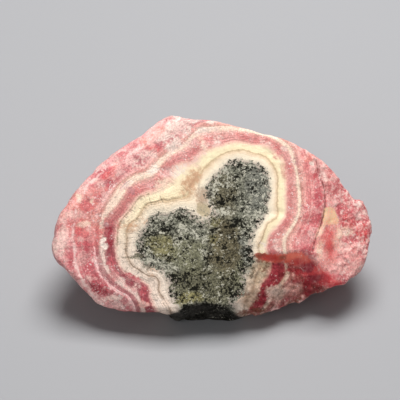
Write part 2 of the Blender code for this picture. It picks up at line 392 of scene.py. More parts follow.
# Uneven places of the bands, region by region, each patch laid over those before it
OUTER_LEFT: tuple[Patch, ...] = (
    # The last salmon patch in these rows, at the foot of the red band low on the left, is painted light: it
    # lightens the band where the face curves under into shade
    *patches(Tone.SALMON, (-37.1, 1.8, 6.2, 7.9, 0.45, 1.0), (-32.6, -4.4, 2.3, 3.4, 0.4, 1.0),
             (-19.3, -23.9, 1.7, 1.1, 0.4, 1.0)),
    Patch(Tone.ROSE, -37.5, -11.7, 0.7, 3.9, 0.8, 0.4, -5),
    *patches(Tone.PALE, (-41.9, -6.1, 1.4, 5.4, 0.55), (-43.6, -8.1, 1.1, 0.5, 0.7, 0.6, 10),
             (-44.1, -7.8, 1.4, 2.3, 0.5)),
    *patches(Tone.CREAM, (-37.5, 5.8, 0.8, 1.3, 0.8, 0.6, 20), (-33.7, 5.2, 0.5, 1.0, 0.8, 0.5, -15),
             (-36.0, -1.6, 2.0, 0.8, 0.7, 0.7, 10), (-42.5, -14.0, 1.1, 0.6, 0.5, 0.7, -40)),
    *patches(Tone.RED, (-30.3, 12.5, 3.4, 1.4, 0.75, 0.7, 35), (-39.6, -12.3, 0.8, 2.0, 0.5, 0.7, 10),
             (-24.4, 9.1, 1.1, 2.0, 0.35, 0.9, -45), (-27.2, -2.4, 1.4, 2.8, 0.35)),
    *patches(Tone.SCARLET, (-29.8, 12.2, 1.4, 1.0, 0.55, 0.8, 40), (-37.9, -3.6, 1.4, 1.1, 0.45, 0.8)),
    # The first white patch, at the bottom rim, is painted light: it lightens the cream where the face
    # curves under into shade
    *patches(Tone.WHITE, (-13.1, -23.9, 2.8, 1.4, 0.5, 1.0), (-23.8, 9.4, 2.5, 0.8, 0.45, 0.8, 42)),
    Patch(Tone.CRIMSON, -32.0, -19.4, 3.4, 1.6, 0.6, 0.7, -35),
    *patches(Tone.PALE, (-33.4, 10.6, 1.3, 0.6, 0.9, 0.5, 30), (-37.0, -5.8, 1.0, 0.7, 0.8, 0.5),
             (-34.6, -16.8, 1.1, 0.6, 0.6, 0.6, -30), (-26.9, -22.5, 2.3, 0.6, 0.7, 0.6, 8),
             (-19.0, -24.1, 1.4, 0.8, 0.5)),
    Patch(Tone.MAUVE, -26.1, -24.1, 2.3, 1.0, 0.5, 0.7, -5),
    *patches(Tone.CRIMSON, (-34.8, -7.5, 1.1, 2.8, 0.45, 0.8), (-25.5, -25.6, 1.1, 0.5, 0.5, 0.7)),
    *patches(Tone.SALMON, (-32.3, 7.7, 2.8, 1.1, 0.6, 0.8, 18), (-27.2, 14.8, 1.4, 1.4, 0.3, 1.0, 40)),
    *patches(Tone.RED, (-35.7, 3.5, 1.3, 2.3, 0.5, 0.8, 20), (-36.0, -11.2, 3.7, 6.2, 0.4),
             (-37.9, -3.8, 2.5, 3.7, 0.3), (-32.6, 7.4, 3.4, 1.7, 0.35, 0.9, 25),
             (-32.6, -5.0, 2.0, 2.5, 0.45), (-32.3, -16.8, 1.4, 1.7, 0.3, 0.9, 30),
             (-30.3, -18.2, 1.1, 1.4, 0.6), (-32.9, -15.7, 1.1, 1.1, 0.3)),
    Patch(Tone.SALMON, -28.1, 12.0, 1.7, 1.7, 0.25, 1.0, 40),
    *patches(Tone.PALE, (-28.6, -22.7, 2.5, 1.1, 0.6, 0.8, 10), (-38.5, 1.2, 3.4, 1.1, 0.5),
             (-31.5, 9.7, 2.0, 1.4, 0.35, 0.9, 40)),
    Patch(Tone.CRIMSON, -35.7, -10.6, 1.1, 2.3, 0.6),
    Patch(Tone.RED, -34.8, -6.9, 1.1, 2.3, 0.45),
)

INNER_LEFT: tuple[Patch, ...] = (
    *patches(Tone.TAN, (-22.1, -2.4, 2.0, 1.7, 0.35), (-18.8, -0.5, 1.4, 1.1, 0.25, 0.9, 30),
             (-23.8, -1.9, 2.3, 1.7, 0.25, 1.0), (-16.8, -15.1, 1.7, 1.7, 0.25)),
    *patches(Tone.BARK, (-23.3, -10.9, 2.5, 0.4, 0.55, 0.6, -3), (-21.0, -10.9, 1.7, 0.9, 0.6, 0.8),
             (-18.5, -13.4, 1.4, 1.1, 0.3, 0.9, -20)),
    Patch(Tone.CREAM, -12.8, -23.9, 1.4, 1.1, 0.5),
    *patches(Tone.RED, (-22.4, -16.5, 2.5, 0.7, 0.6, 0.6, -25), (-19.3, -20.5, 0.9, 1.4, 0.6, 0.6)),
    Patch(Tone.CRIMSON, -29.2, -3.6, 1.1, 1.6, 0.8, 0.5, -10),
    *patches(Tone.WHITE, (-30.3, -5.8, 0.9, 0.6, 0.9, 0.4, 20),
             (-29.9, -7.6, 1.0, 0.9, 0.95, 0.35, -20), (-31.0, -6.8, 0.6, 1.1, 0.85, 0.4, 10)),
    *patches(Tone.CRIMSON, (-28.6, -6.1, 0.8, 1.4, 0.6, 0.6), (-28.6, -6.4, 0.8, 2.3, 0.4)),
    *patches(Tone.MAUVE, (-29.8, -1.9, 1.0, 0.8, 0.7, 0.6), (-22.7, 7.7, 1.1, 1.1, 0.5, 0.7, -40)),
    Patch(Tone.RED, -28.4, -12.3, 1.1, 2.3, 0.5, 0.7, 12),
    Patch(Tone.PALE, -26.4, -16.8, 2.3, 0.8, 0.65, 0.6, -38),
    *patches(Tone.ROSE, (-22.7, -19.6, 2.0, 0.7, 0.5, 0.7, -35), (-18.2, 9.4, 2.0, 0.8, 0.5, 0.7, 10)),
    Patch(Tone.RED, -27.5, -15.7, 1.4, 1.7, 0.45, 0.9, 30),
)

LOBE_JOINT: tuple[Patch, ...] = (
    Patch(Tone.OLIVE_STONE, -2.4, 2.6, 1.8, 2.0, 0.85, 0.45, 20),
    *patches(Tone.PALE, (1.3, 21.8, 1.3, 0.6, 0.7, 0.6), (1.8, 23.0, 1.4, 0.8, 0.5, 0.8),
             (1.3, 21.0, 1.4, 0.8, 0.4), (-21.0, -18.8, 1.1, 1.4, 0.45)),
    *patches(Tone.TAN, (-6.8, 7.9, 2.5, 1.6, 0.4, 1.5, 50), (-2.8, 6.0, 0.8, 1.0, 0.3, 0.8)),
    Patch(Tone.CREAM, -14.2, 9.7, 1.7, 2.3, 0.55, 0.8, -25),
    *patches(Tone.ROSE, (-12.8, 13.1, 1.4, 1.7, 0.6, 0.8, -30), (-4.9, 21.6, 1.3, 0.9, 0.7, 0.7, 30)),
    Patch(Tone.RED, -8.0, 17.7, 3.4, 1.0, 0.35, 0.9, 24),
    *patches(Tone.WHITE, (-9.6, 13.4, 2.6, 1.6, 0.5, 1.3, 25), (-16.5, 13.9, 1.3, 1.7, 0.6, 0.8, -40)),
    Patch(Tone.CREAM, -2.5, 21.3, 0.8, 2.0, 0.55, 1.2, 15),
    Patch(Tone.YELLOW, -0.7, 17.3, 3.7, 1.0, 0.65, 0.8, 25),
    Patch(Tone.PALE, -2.7, 18.7, 1.1, 1.1, 0.4),
    Patch(Tone.TAN, -5.5, 11.2, 3.3, 1.6, 0.75, 1.5, 52),
    Patch(Tone.ASH, -3.0, 6.9, 1.4, 2.5, 0.55, 0.9, 10),
    Patch(Tone.CREAM, -4.4, 15.1, 1.4, 1.1, 0.4, 0.9, 20),
    Patch(Tone.PALE, -6.1, 15.6, 1.7, 0.8, 0.35, 0.9, 20),
    Patch(Tone.TAN, -3.2, 6.6, 1.7, 2.5, 0.45, 0.9, 10),
)

OUTER_TOP: tuple[Patch, ...] = (
    *patches(Tone.MAUVE, (-9.5, 24.7, 2.0, 0.7, 0.45, 0.6, 15), (-6.1, 27.2, 3.9, 0.8, 0.3, 0.9, 8),
             (-3.5, 27.5, 1.7, 0.5, 0.6, 0.6, -8)),
    Patch(Tone.SCARLET, -16.2, 19.7, 2.6, 0.8, 0.4, 0.9, -5),
    *patches(Tone.PALE, (-10.0, 21.8, 1.6, 0.8, 0.85, 0.5, 35), (-13.7, 23.5, 0.9, 2.3, 0.4, 0.7, -25),
             (-11.1, 24.9, 3.1, 1.4, 0.75, 0.8, 35), (-7.2, 26.6, 2.0, 1.0, 0.45, 0.7, -20),
             (-4.4, 16.8, 1.4, 1.1, 0.4, 0.9, 25), (-16.2, 18.4, 1.1, 1.4, 0.55),
             (-1.8, 21.0, 1.4, 0.8, 0.4, 0.9, 20)),
    *patches(Tone.WHITE, (-10.3, 26.2, 3.4, 1.7, 0.45, 1.0, 5), (-7.2, 30.7, 6.8, 2.5, 0.6, 1.0, 5),
             (-13.7, 22.9, 2.0, 1.7, 0.4, 1.0, 30), (-10.9, 20.4, 2.5, 1.4, 0.6, 0.9, 20),
             (-4.9, 27.5, 1.4, 0.6, 0.5, 1.0)),
    *patches(Tone.PALE, (-17.3, 28.3, 4.5, 2.5, 0.2, 1.0, 35), (-1.0, 24.7, 4.5, 1.1, 0.45, 0.9, 5),
             (-8.9, 19.6, 5.6, 2.5, 0.3, 1.2, 25)),
    *patches(Tone.WHITE, (-1.6, 25.2, 2.5, 0.8, 0.45, 0.9, 8), (-6.6, 24.7, 2.0, 1.1, 0.45, 0.9, 40),
             (-10.6, 23.0, 1.7, 0.8, 0.4, 1.0, 30), (-0.1, 27.2, 1.4, 0.6, 0.4, 1.0)),
    *patches(Tone.SALMON, (-19.3, 22.1, 1.4, 0.8, 0.5, 0.8, 10), (-15.1, 24.4, 2.3, 1.4, 0.35, 1.0, 40)),
    *patches(Tone.RED, (-22.1, 17.9, 1.7, 0.8, 0.2, 0.8, 15), (-15.9, 21.0, 1.1, 0.8, 0.35)),
    *patches(Tone.ROSE, (-24.7, 14.5, 2.0, 2.5, 0.5, 0.9, -20), (-9.5, 25.5, 1.7, 0.8, 0.4, 0.9, 30)),
    *patches(Tone.PALE, (-18.5, 18.2, 2.0, 1.1, 0.6, 0.8, 10), (-20.5, 15.3, 2.5, 1.4, 0.4, 0.9, 35)),
    *patches(Tone.SALMON, (-17.9, 21.6, 2.3, 1.7, 0.35, 1.0, 35),
             (-15.1, 24.4, 2.3, 1.4, 0.25, 1.0, 40)),
)

RIGHT_BANDS: tuple[Patch, ...] = (
    *patches(Tone.ROSE, (30.0, 8.9, 0.8, 0.8, 0.6, 0.6, 20), (26.1, -6.4, 2.3, 1.7, 0.5, 0.9, 20)),
    *patches(Tone.YELLOW, (14.5, 19.6, 2.3, 0.7, 0.5, 0.8, -25), (19.9, 10.8, 1.0, 6.2, 0.4)),
    Patch(Tone.SALMON, 27.5, 17.0, 1.4, 1.3, 0.6, 0.7),
    Patch(Tone.MAUVE, 24.1, 16.5, 1.1, 2.0, 0.35, 0.9, 30),
    Patch(Tone.SCARLET, 29.6, 12.8, 0.7, 1.7, 0.55, 0.7, -10),
    *patches(Tone.PALE, (20.5, 19.6, 1.4, 0.7, 0.7, 0.6, -35), (31.6, 12.0, 1.0, 1.8, 0.7, 0.6, 20),
             (18.2, -7.5, 1.7, 1.7, 0.5, 0.8)),
    *patches(Tone.CRIMSON, (30.0, 6.3, 0.8, 1.4, 0.4, 0.7), (30.0, 13.1, 0.8, 1.7, 0.6, 0.7, -15)),
    *patches(Tone.RED, (30.3, 1.5, 1.1, 2.3, 0.25, 0.8, 5), (26.7, -8.9, 1.4, 0.8, 0.5, 0.7, 10),
             (26.4, -7.8, 1.7, 1.4, 0.5, 0.8), (20.5, 13.1, 1.1, 2.5, 0.35, 0.9, 15),
             (18.5, 17.9, 1.4, 1.4, 0.3, 0.9, 40), (26.4, 2.1, 1.1, 3.7, 0.3, 0.9, 5)),
    *patches(Tone.WHITE, (28.4, 15.6, 0.7, 0.6, 0.9, 0.4, 20), (14.2, -7.5, 1.1, 1.4, 0.35)),
    Patch(Tone.PALE, 15.7, 21.3, 2.5, 0.8, 0.35, 0.9, -25),
)

RIGHT_FACET: tuple[Patch, ...] = (
    Patch(Tone.PEACH, 30.6, -3.3, 0.6, 2.3, 0.7, 0.5, -28),
    Patch(Tone.WHITE, 42.5, 2.1, 2.0, 2.8, 0.2, 0.9, 20),
    Patch(Tone.CRIMSON, 30.3, 4.6, 0.6, 4.5, 0.35, 0.8),
    *patches(Tone.RED, (39.4, 2.1, 1.1, 2.0, 0.5, 0.8, -20), (34.6, 13.1, 0.8, 2.3, 0.4, 0.8, 35),
             (29.2, 4.6, 2.0, 3.9, 0.4, 1.0), (34.8, 9.4, 1.4, 1.7, 0.45, 0.9, 20),
             (32.0, 3.5, 1.4, 2.5, 0.4), (28.6, -3.8, 1.7, 1.7, 0.4)),
    *patches(Tone.BLUSH, (35.4, -13.7, 3.7, 2.3, 0.7, 0.9, -10), (40.5, -12.3, 2.3, 3.7, 0.6, 0.9, 15)),
    Patch(Tone.CRIMSON, 35.4, -18.2, 2.5, 0.8, 0.8, 0.6, 20),
    Patch(Tone.SCARLET, 38.5, -0.7, 2.5, 2.0, 0.55),
    *patches(Tone.CREAM, (37.9, -3.6, 2.5, 1.4, 0.6, 0.8, 10), (35.4, -6.1, 1.4, 2.5, 0.4, 0.8)),
    Patch(Tone.SCARLET, 42.5, -4.1, 1.7, 2.8, 0.65, 0.7),
    Patch(Tone.BLUSH, 37.7, -9.5, 3.4, 3.1, 0.6),
    *patches(Tone.SCARLET, (33.4, -9.5, 1.1, 2.5, 0.7, 0.6, 10), (32.9, -5.2, 1.1, 2.5, 0.6, 0.7, -5)),
    Patch(Tone.PALE, 31.7, -9.8, 1.4, 1.4, 0.5, 0.8),
    Patch(Tone.BLUSH, 29.5, -12.6, 1.4, 1.4, 0.45),
    *patches(Tone.RED, (42.2, -10.0, 0.8, 2.5, 0.5, 0.7, 15), (36.5, 4.1, 1.7, 2.3, 0.4),
             (35.7, -17.1, 3.7, 1.4, 0.45, 1.0, -10), (40.5, 1.0, 1.4, 1.7, 0.45)),
    Patch(Tone.ROSE, 34.8, -12.6, 2.0, 3.7, 0.3),
    *patches(Tone.RED, (34.8, -10.6, 1.4, 1.7, 0.3), (34.3, -16.0, 1.7, 1.1, 0.3)),
)

# The recess below the ledge, clockwise from its left tip
RECESS_EDGE: tuple[Point, ...] = (
    (12.0, -10.9), (14.2, -11.5), (17.1, -12.0), (20.2, -12.3), (22.1, -12.9), (24.7, -13.7),
    (26.7, -14.0), (28.4, -17.1), (31.2, -18.2), (33.7, -19.1), (30.9, -20.5), (26.7, -22.2),
    (22.1, -23.9), (17.9, -25.6), (14.2, -27.0), (10.6, -26.0), (8.6, -23.2), (9.2, -19.6),
    (10.3, -16.2), (11.2, -13.4),
)

RECESS: tuple[Patch, ...] = (
    *patches(Tone.CREAM, (12.0, -21.0, 2.0, 2.3, 0.6), (9.5, -23.0, 1.7, 1.1, 0.5, 0.8)),
    Patch(Tone.BARK, 10.9, -14.6, 1.4, 2.3, 0.4, 0.9, 10),
    # The rust patches here are painted shade: in the crevice under the ledge tip, on the cream below it and
    # along the lower rim where the stone curves under
    *patches(Tone.RUST, (15.1, -14.3, 1.7, 1.4, 0.3), (26.4, -23.0, 5.6, 1.1, 0.5, 0.8, 14),
             (12.3, -26.4, 2.8, 1.1, 0.7, 0.8, 10), (14.8, -12.3, 2.5, 0.6, 0.6, 0.7, -14),
             (19.9, -26.2, 6.2, 0.8, 0.6, 0.7, 14), (30.0, -21.0, 3.4, 0.8, 0.6, 0.7, 18),
             (8.9, -21.3, 2.0, 0.5, 0.6, 0.6)),
    *patches(Tone.CREAM, (9.5, -23.6, 2.5, 1.4, 0.5, 0.8, -10), (10.0, -23.0, 1.1, 0.8, 0.5, 0.9, -20)),
    *patches(Tone.SCARLET, (24.1, -14.0, 2.8, 1.7, 0.8, 0.8, -5),
             (27.2, -15.4, 3.4, 1.7, 0.8, 0.8, -20)),
    *patches(Tone.CRIMSON, (25.0, -14.8, 3.9, 1.7, 0.3, 1.0, -10),
             (25.0, -14.0, 3.4, 2.0, 0.4, 0.6, -15)),
    *patches(Tone.SCARLET, (24.4, -12.6, 2.0, 0.7, 0.6, 0.7, -10),
             (24.7, -12.6, 1.7, 0.8, 0.5, 0.9, -10)),
    Patch(Tone.PALE, 17.9, -21.3, 2.5, 2.0, 0.85, 0.9, -40),
    # More painted shade in rust along the lower rim
    *patches(Tone.RUST, (22.1, -24.0, 2.3, 0.6, 0.5, 0.7, 18), (8.9, -26.7, 1.7, 0.8, 0.6)),
    Patch(Tone.ROSE, 23.3, -20.2, 3.1, 2.1, 0.8, 0.4, 8),
    Patch(Tone.PALE, 17.9, -20.8, 2.3, 1.4, 0.6, 0.9, 15),
    *patches(Tone.CRIMSON, (26.9, -20.2, 1.3, 1.7, 0.85, 0.5, -10), (26.1, -17.4, 3.9, 1.1, 0.6, 0.8)),
    *patches(Tone.SCARLET, (28.6, -18.5, 2.5, 1.1, 0.5, 0.8, 10),
             (28.4, -14.6, 2.5, 1.1, 0.7, 0.6, -25)),
    *patches(Tone.CRIMSON, (30.0, -17.7, 3.9, 1.4, 0.7, 0.7, 12), (28.4, -20.5, 3.4, 1.1, 0.6, 0.7, 15)),
    Patch(Tone.BLUSH, 23.0, -19.6, 2.3, 1.4, 0.35, 0.9, 10),
    Patch(Tone.RED, 32.9, -16.5, 2.3, 1.1, 0.6, 0.7, -20),
    Patch(Tone.ROSE, 21.0, -19.1, 1.1, 1.1, 0.4),
    Patch(Tone.SCARLET, 27.2, -14.0, 2.3, 1.7, 0.6, 0.9, -20),
    Patch(Tone.WHITE, 19.0, -20.5, 2.5, 1.4, 0.4, 0.9, 10),
)

# The ledge's wall, the red break at its right, and two facets on the right
FACETS: tuple[Facet, ...] = (
    Facet(Tone.EMBER, 0.88, (
        (12.4, -10.5), (14.2, -10.2), (17.1, -10.4), (20.2, -10.6), (22.8, -10.0), (25.0, -9.8),
        (26.7, -10.7), (27.6, -12.0), (27.2, -13.3), (24.7, -13.3), (22.1, -12.5), (19.9, -12.0),
        (17.1, -12.0), (14.5, -11.5),
    ), 0.9),
    Facet(Tone.FLAME, 0.55, (
        (28.1, -12.1), (30.4, -13.2), (32.2, -15.0), (34.2, -16.6), (36.8, -18.3), (35.4, -19.5),
        (31.2, -18.8), (27.5, -17.2), (25.4, -14.6), (26.7, -13.4),
    ), 1.2),
    Facet(Tone.PEACH, 1.0, (
        (32.0, 2.4), (32.6, 2.9), (33.7, 3.1), (34.6, 2.4), (35.1, 1.2), (35.7, -0.2),
        (35.8, -1.3), (34.8, -1.6), (33.1, -1.6), (31.7, -1.7), (31.6, 0.1),
    )),
    Facet(Tone.SALMON, 0.38, (
        (31.2, -2.1), (33.4, -1.9), (35.4, -1.9), (36.0, -4.5), (35.8, -8.5), (34.8, -12.0),
        (32.8, -13.0), (31.0, -12.0), (29.8, -9.5), (29.9, -6.5), (30.7, -4.0),
    ), 1.4),
)

BAND_PATCHES = OUTER_LEFT + INNER_LEFT + LOBE_JOINT + OUTER_TOP + RIGHT_BANDS + RIGHT_FACET + RECESS

# The underside below the face, clockwise from its left tip: dark matrix, painted darker still over the
# matrix and the bands as painted shade
SHADED_UNDERSIDE: tuple[Point, ...] = (
    (-9.3, -26.2), (-7.2, -24.8), (-4.3, -23.9), (-0.8, -23.8), (2.6, -24.8), (5.4, -26.2),
    (8.0, -27.5), (12.3, -29.0), (11.0, -31.0), (1.0, -33.0), (-8.0, -32.0), (-14.5, -28.8),
    (-12.0, -27.0),
)

# How far dark and pale clumps shift the matrix grains towards dark or pale
GRAIN_BIAS: dict[Tone, float] = {Tone.BLACK: -0.42, Tone.ASH: 0.40}

# Lighter and darker places on the smooth facets
LEDGE_SHADES: tuple[Patch, ...] = (
    Patch(Tone.CORAL, 23.1, -10.9, 3.6, 1.6, 1.1, 1.2, -8),
    *patches(Tone.RUST, (15.6, -11.2, 4.5, 1.1, 0.5, 1.4, -6), (13.0, -10.6, 2.0, 1.1, 0.9, 1.0)),
    *patches(Tone.SCARLET, (17.0, -11.2, 2.8, 1.0, 0.5, 1.2), (25.4, -14.3, 2.8, 1.4, 0.7, 1.0),
             (33.3, -5.5, 1.1, 2.3, 0.5, 1.5, 8), (34.1, -8.9, 1.0, 1.7, 0.35, 1.5, 25),
             (32.0, -8.9, 0.5, 1.7, 0.35, 1.5, -20)),
    Patch(Tone.RUST, 20.2, -10.9, 0.9, 0.8, 0.6, 1.2),
    *patches(Tone.CREAM, (36.5, -4.1, 1.0, 2.3, 0.6, 1.4, 15), (30.9, -3.6, 0.6, 2.5, 0.45, 1.2, -28)),
    *patches(Tone.CRIMSON, (27.5, -13.1, 2.5, 0.8, 0.8, 1.2, 12), (28.4, -17.1, 2.8, 1.1, 1.3, 0.8, 10)),
    Patch(Tone.SCARLET, 24.7, -12.3, 2.5, 1.1, 0.8, 1.2, -5),
    Patch(Tone.CREAM, 30.3, -9.2, 1.0, 2.5, 0.7, 1.4, -10),
    Patch(Tone.CRIMSON, 26.7, -14.0, 1.7, 1.4, 1.2, 0.8),
)

# Coloured zones of the matrix, each laid over those before it
MATRIX_PATCHES: tuple[Patch, ...] = (
    Patch(Tone.BARK, -1.8, -18.5, 10.7, 5.6, 0.85, 0.6),
    Patch(Tone.OLIVE, -13.7, -7.8, 4.2, 3.1, 0.8, 0.8, -20),
    Patch(Tone.MOSS, -6.6, -10.0, 5.6, 4.5, 0.8, 0.8, -30),
    Patch(Tone.BROWN, 4.1, -7.8, 4.8, 7.6, 0.9, 0.6),
    Patch(Tone.OLIVE, -0.1, -6.1, 1.7, 1.7, 0.6, 0.8),
    Patch(Tone.OLIVE, 0.7, -0.7, 2.3, 1.4, 0.6, 0.8),
    Patch(Tone.SLATE, 9.7, -8.9, 1.4, 4.8, 0.7, 0.8, 10),
    Patch(Tone.OLIVE, -6.1, -22.5, 4.5, 1.7, 0.8, 0.7, 5),
    Patch(Tone.BROWN, 3.0, 6.9, 3.9, 6.8, 0.7),
    Patch(Tone.SLATE, 12.8, 8.0, 2.8, 6.8, 0.7, 0.8),
    Patch(Tone.MOSS, 8.0, -15.7, 2.0, 3.4, 0.6),
)

# Clumps of dark and of pale grains in the matrix
DARK_CLUMPS = patches(
    Tone.BLACK,
    (-7.8, -17.7, 4.2, 1.7, 0.8, 0.8, -20), (-19.6, -6.7, 1.4, 3.4, 0.7, 0.8),
    (-17.1, -13.7, 2.3, 0.7, 0.6, 0.7, -25), (-11.7, -3.3, 2.3, 2.3, 0.4),
    (10.9, -10.0, 1.4, 2.3, 0.35, 0.8), (-7.8, 0.4, 3.4, 1.1, 0.7, 0.8, -15),
    (-13.7, -0.2, 2.3, 1.1, 0.5, 0.8, 20), (-17.3, -3.8, 1.1, 2.3, 0.5, 0.8),
    (5.2, -2.0, 1.8, 2.6, 1.0, 0.8), (2.1, 5.2, 4.5, 2.0, 0.4, 0.9, 10),
    (-4.1, -18.8, 2.3, 1.1, 0.9, 0.7, -10), (0.7, -11.2, 2.5, 1.1, 0.4, 0.9, -20),
    (6.9, 6.3, 2.8, 3.9, 0.3), (5.6, -20.2, 3.9, 2.6, 0.5), (6.9, -1.0, 2.0, 1.1, 0.7, 0.8),
    (0.1, -6.7, 1.7, 1.1, 0.6, 0.8), (5.8, -9.5, 1.7, 1.1, 0.6, 0.8),
    (-10.9, -10.0, 2.3, 1.4, 0.6, 0.8), (-4.1, -15.1, 2.8, 1.4, 0.5, 0.8),
    (-8.9, -14.8, 1.7, 1.4, 0.45), (-7.2, -22.2, 1.4, 1.1, 0.4), (5.2, -23.9, 1.4, 0.8, 0.35),
    (14.8, 12.2, 1.1, 1.4, 0.4), (0.1, -18.5, 1.7, 1.4, 0.5, 0.8), (8.9, -4.7, 1.1, 3.4, 0.5),
    (8.9, -14.0, 1.1, 2.3, 0.4), (-9.5, -20.8, 2.0, 1.7, 0.3),
)
PALE_CLUMPS = patches(
    Tone.ASH,
    (-15.9, -12.3, 3.7, 0.7, 0.9, 0.6, -30), (-6.1, -3.0, 2.3, 1.1, 0.8, 0.8, -20),
    (-8.0, -2.1, 1.7, 1.1, 0.8, 0.8), (0.7, 8.0, 0.8, 2.8, 0.7, 0.8),
    (3.5, 13.7, 2.5, 1.4, 0.8, 0.8, 40), (3.0, 1.8, 2.5, 1.1, 0.6, 0.9, -10),
    (13.7, 1.0, 1.7, 1.0, 0.9, 0.6, 35), (-1.8, -0.7, 1.1, 0.8, 0.7, 0.7),
    (9.5, 3.5, 2.3, 1.1, 0.4), (5.2, 12.2, 2.5, 2.5, 0.3), (0.4, 6.3, 1.4, 2.3, 0.5),
    (3.0, 1.5, 1.4, 1.7, 0.4), (-12.8, 0.4, 2.8, 1.4, 0.6, 0.8), (14.2, 7.2, 1.1, 2.0, 0.5),
    (10.3, -6.7, 1.7, 1.4, 0.5, 0.8), (5.8, 9.7, 2.3, 2.8, 0.5),
    (12.6, 14.2, 1.7, 0.8, 0.4, 0.9, -30), (13.7, 10.6, 0.8, 1.4, 0.4), (-9.2, 0.4, 1.4, 1.4, 0.5),
    (-12.0, -12.9, 1.1, 0.8, 0.4), (8.0, -13.7, 1.1, 1.1, 0.4), (3.0, 1.2, 1.4, 1.4, 0.45),
    (12.0, 1.5, 1.1, 1.4, 0.5), (-13.4, -2.1, 1.7, 1.1, 0.5), (-10.0, -6.7, 1.7, 1.7, 0.45),
    (-2.4, -6.9, 1.7, 1.7, 0.45), (-13.7, -12.3, 1.4, 1.1, 0.4), (1.0, 3.8, 1.1, 1.1, 0.3),
    (-18.5, -10.3, 1.1, 1.1, 0.4), (-10.0, -24.1, 2.5, 0.8, 0.5),
    (-9.5, -18.5, 1.4, 1.4, 0.6, 0.8), (-3.2, -1.0, 2.3, 1.4, 0.4),
)


@dataclass(frozen=True)
class FaceFrame:
    """Where the banded face is and how it leans.

    Attributes:
        lean: angle of the face's normal above the ground.
        sight: angle above the ground of the line along which the bands run into the stone.
        middle: the face's middle in millimetres from the middle of the base.
    """

    lean: float = math.radians(52.0)
    sight: float = math.radians(45.0)
    middle: tuple[float, float, float] = (0.3, -3.6, 26.0)

    def places(self, points: Array, angle: float) -> Array:
        """Turn points in metres into places in millimetres.

        Args:
            points: points in the frame, one row of three each.
            angle: angle above the ground of the line that depth is measured along.

        Returns:
            Places across, up and below the face's middle, one row each.
        """
        sine = math.sin(angle)
        cosine = math.cos(angle)
        axes = np.array(((1.0, 0.0, 0.0), (0.0, sine, cosine), (0.0, cosine, -sine)))
        return (points / MM - np.array(self.middle)) @ axes.T


@dataclass(frozen=True)
class Loop:
    """A smooth closed line on the face.

    Attributes:
        corners: the points that it passes.
        steps: how many short straight runs lie between two of them.
    """

    corners: tuple[Point, ...]
    steps: int = 4

    def line(self) -> Array:
        """Give the line's points, one row each, as a closed Catmull-Rom curve."""
        here = np.array(self.corners)
        before = np.roll(here, 1, axis=0)
        after = np.roll(here, -1, axis=0)
        beyond = np.roll(here, -2, axis=0)
        runs = []
        for step in range(self.steps):
            share = step / self.steps
            runs.append(0.5 * (
                2.0 * here + (after - before) * share
                + (2.0 * before - 5.0 * here + 4.0 * after - beyond) * share ** 2
                + (3.0 * here - before - 3.0 * after + beyond) * share ** 3
            ))
        return np.stack(runs, axis=1).reshape(-1, 2)

    def measure(self, seen: Array) -> tuple[Array, Array]:
        """Measure how far places lie outside the line, and how far along it.

        Args:
            seen: places on the face, one row of two each.

        Returns:
            The distance, negative inside, and the length along the line to the nearest point.
        """
        start = self.line()
        end = np.roll(start, -1, axis=0)
        span = end - start
        length = np.hypot(span[:, 0], span[:, 1])
        reached = np.concatenate(([0.0], np.cumsum(length)[:-1]))
        gaps = []
        alongs = []
        for part in np.array_split(seen, max(1, len(seen) // 4000)):
            offset = part[:, None, :] - start[None]
            share = np.clip((offset * span).sum(-1) / length ** 2, 0.0, 1.0)
            away = offset - share[..., None] * span
            gap = np.hypot(away[..., 0], away[..., 1])
            best = gap.argmin(axis=1)
            rows = np.arange(len(part))
            up = part[:, 1][:, None]
            crosses = (start[:, 1] > up) != (end[:, 1] > up)
            level = np.where(span[:, 1] == 0.0, 1.0, span[:, 1])
            meets = start[:, 0] + span[:, 0] * (up - start[:, 1]) / level
            inside = (crosses & (part[:, 0][:, None] < meets)).sum(axis=1) % 2 == 1
            gaps.append(np.where(inside, -1.0, 1.0) * gap[rows, best])
            alongs.append(reached[best] + share[rows, best] * length[best])
        return np.concatenate(gaps), np.concatenate(alongs)


def gap_to(line: tuple[Point, ...], seen: Array) -> Array:
    """Measure how far places lie from an open line.

    Args:
        line: the line's corners.
        seen: places on the face, one row of two each.

    Returns:
        The distance from the line at each place.
    """
    start = np.array(line[:-1])
    gap = np.full(len(seen), 1.0e3)
    for corner, run in zip(start, np.array(line[1:]) - start):
        offset = seen - corner
        share = np.clip(offset @ run / (run @ run), 0.0, 1.0)
        away = offset - share[:, None] * run
        gap = np.minimum(gap, np.hypot(away[:, 0], away[:, 1]))
    return gap


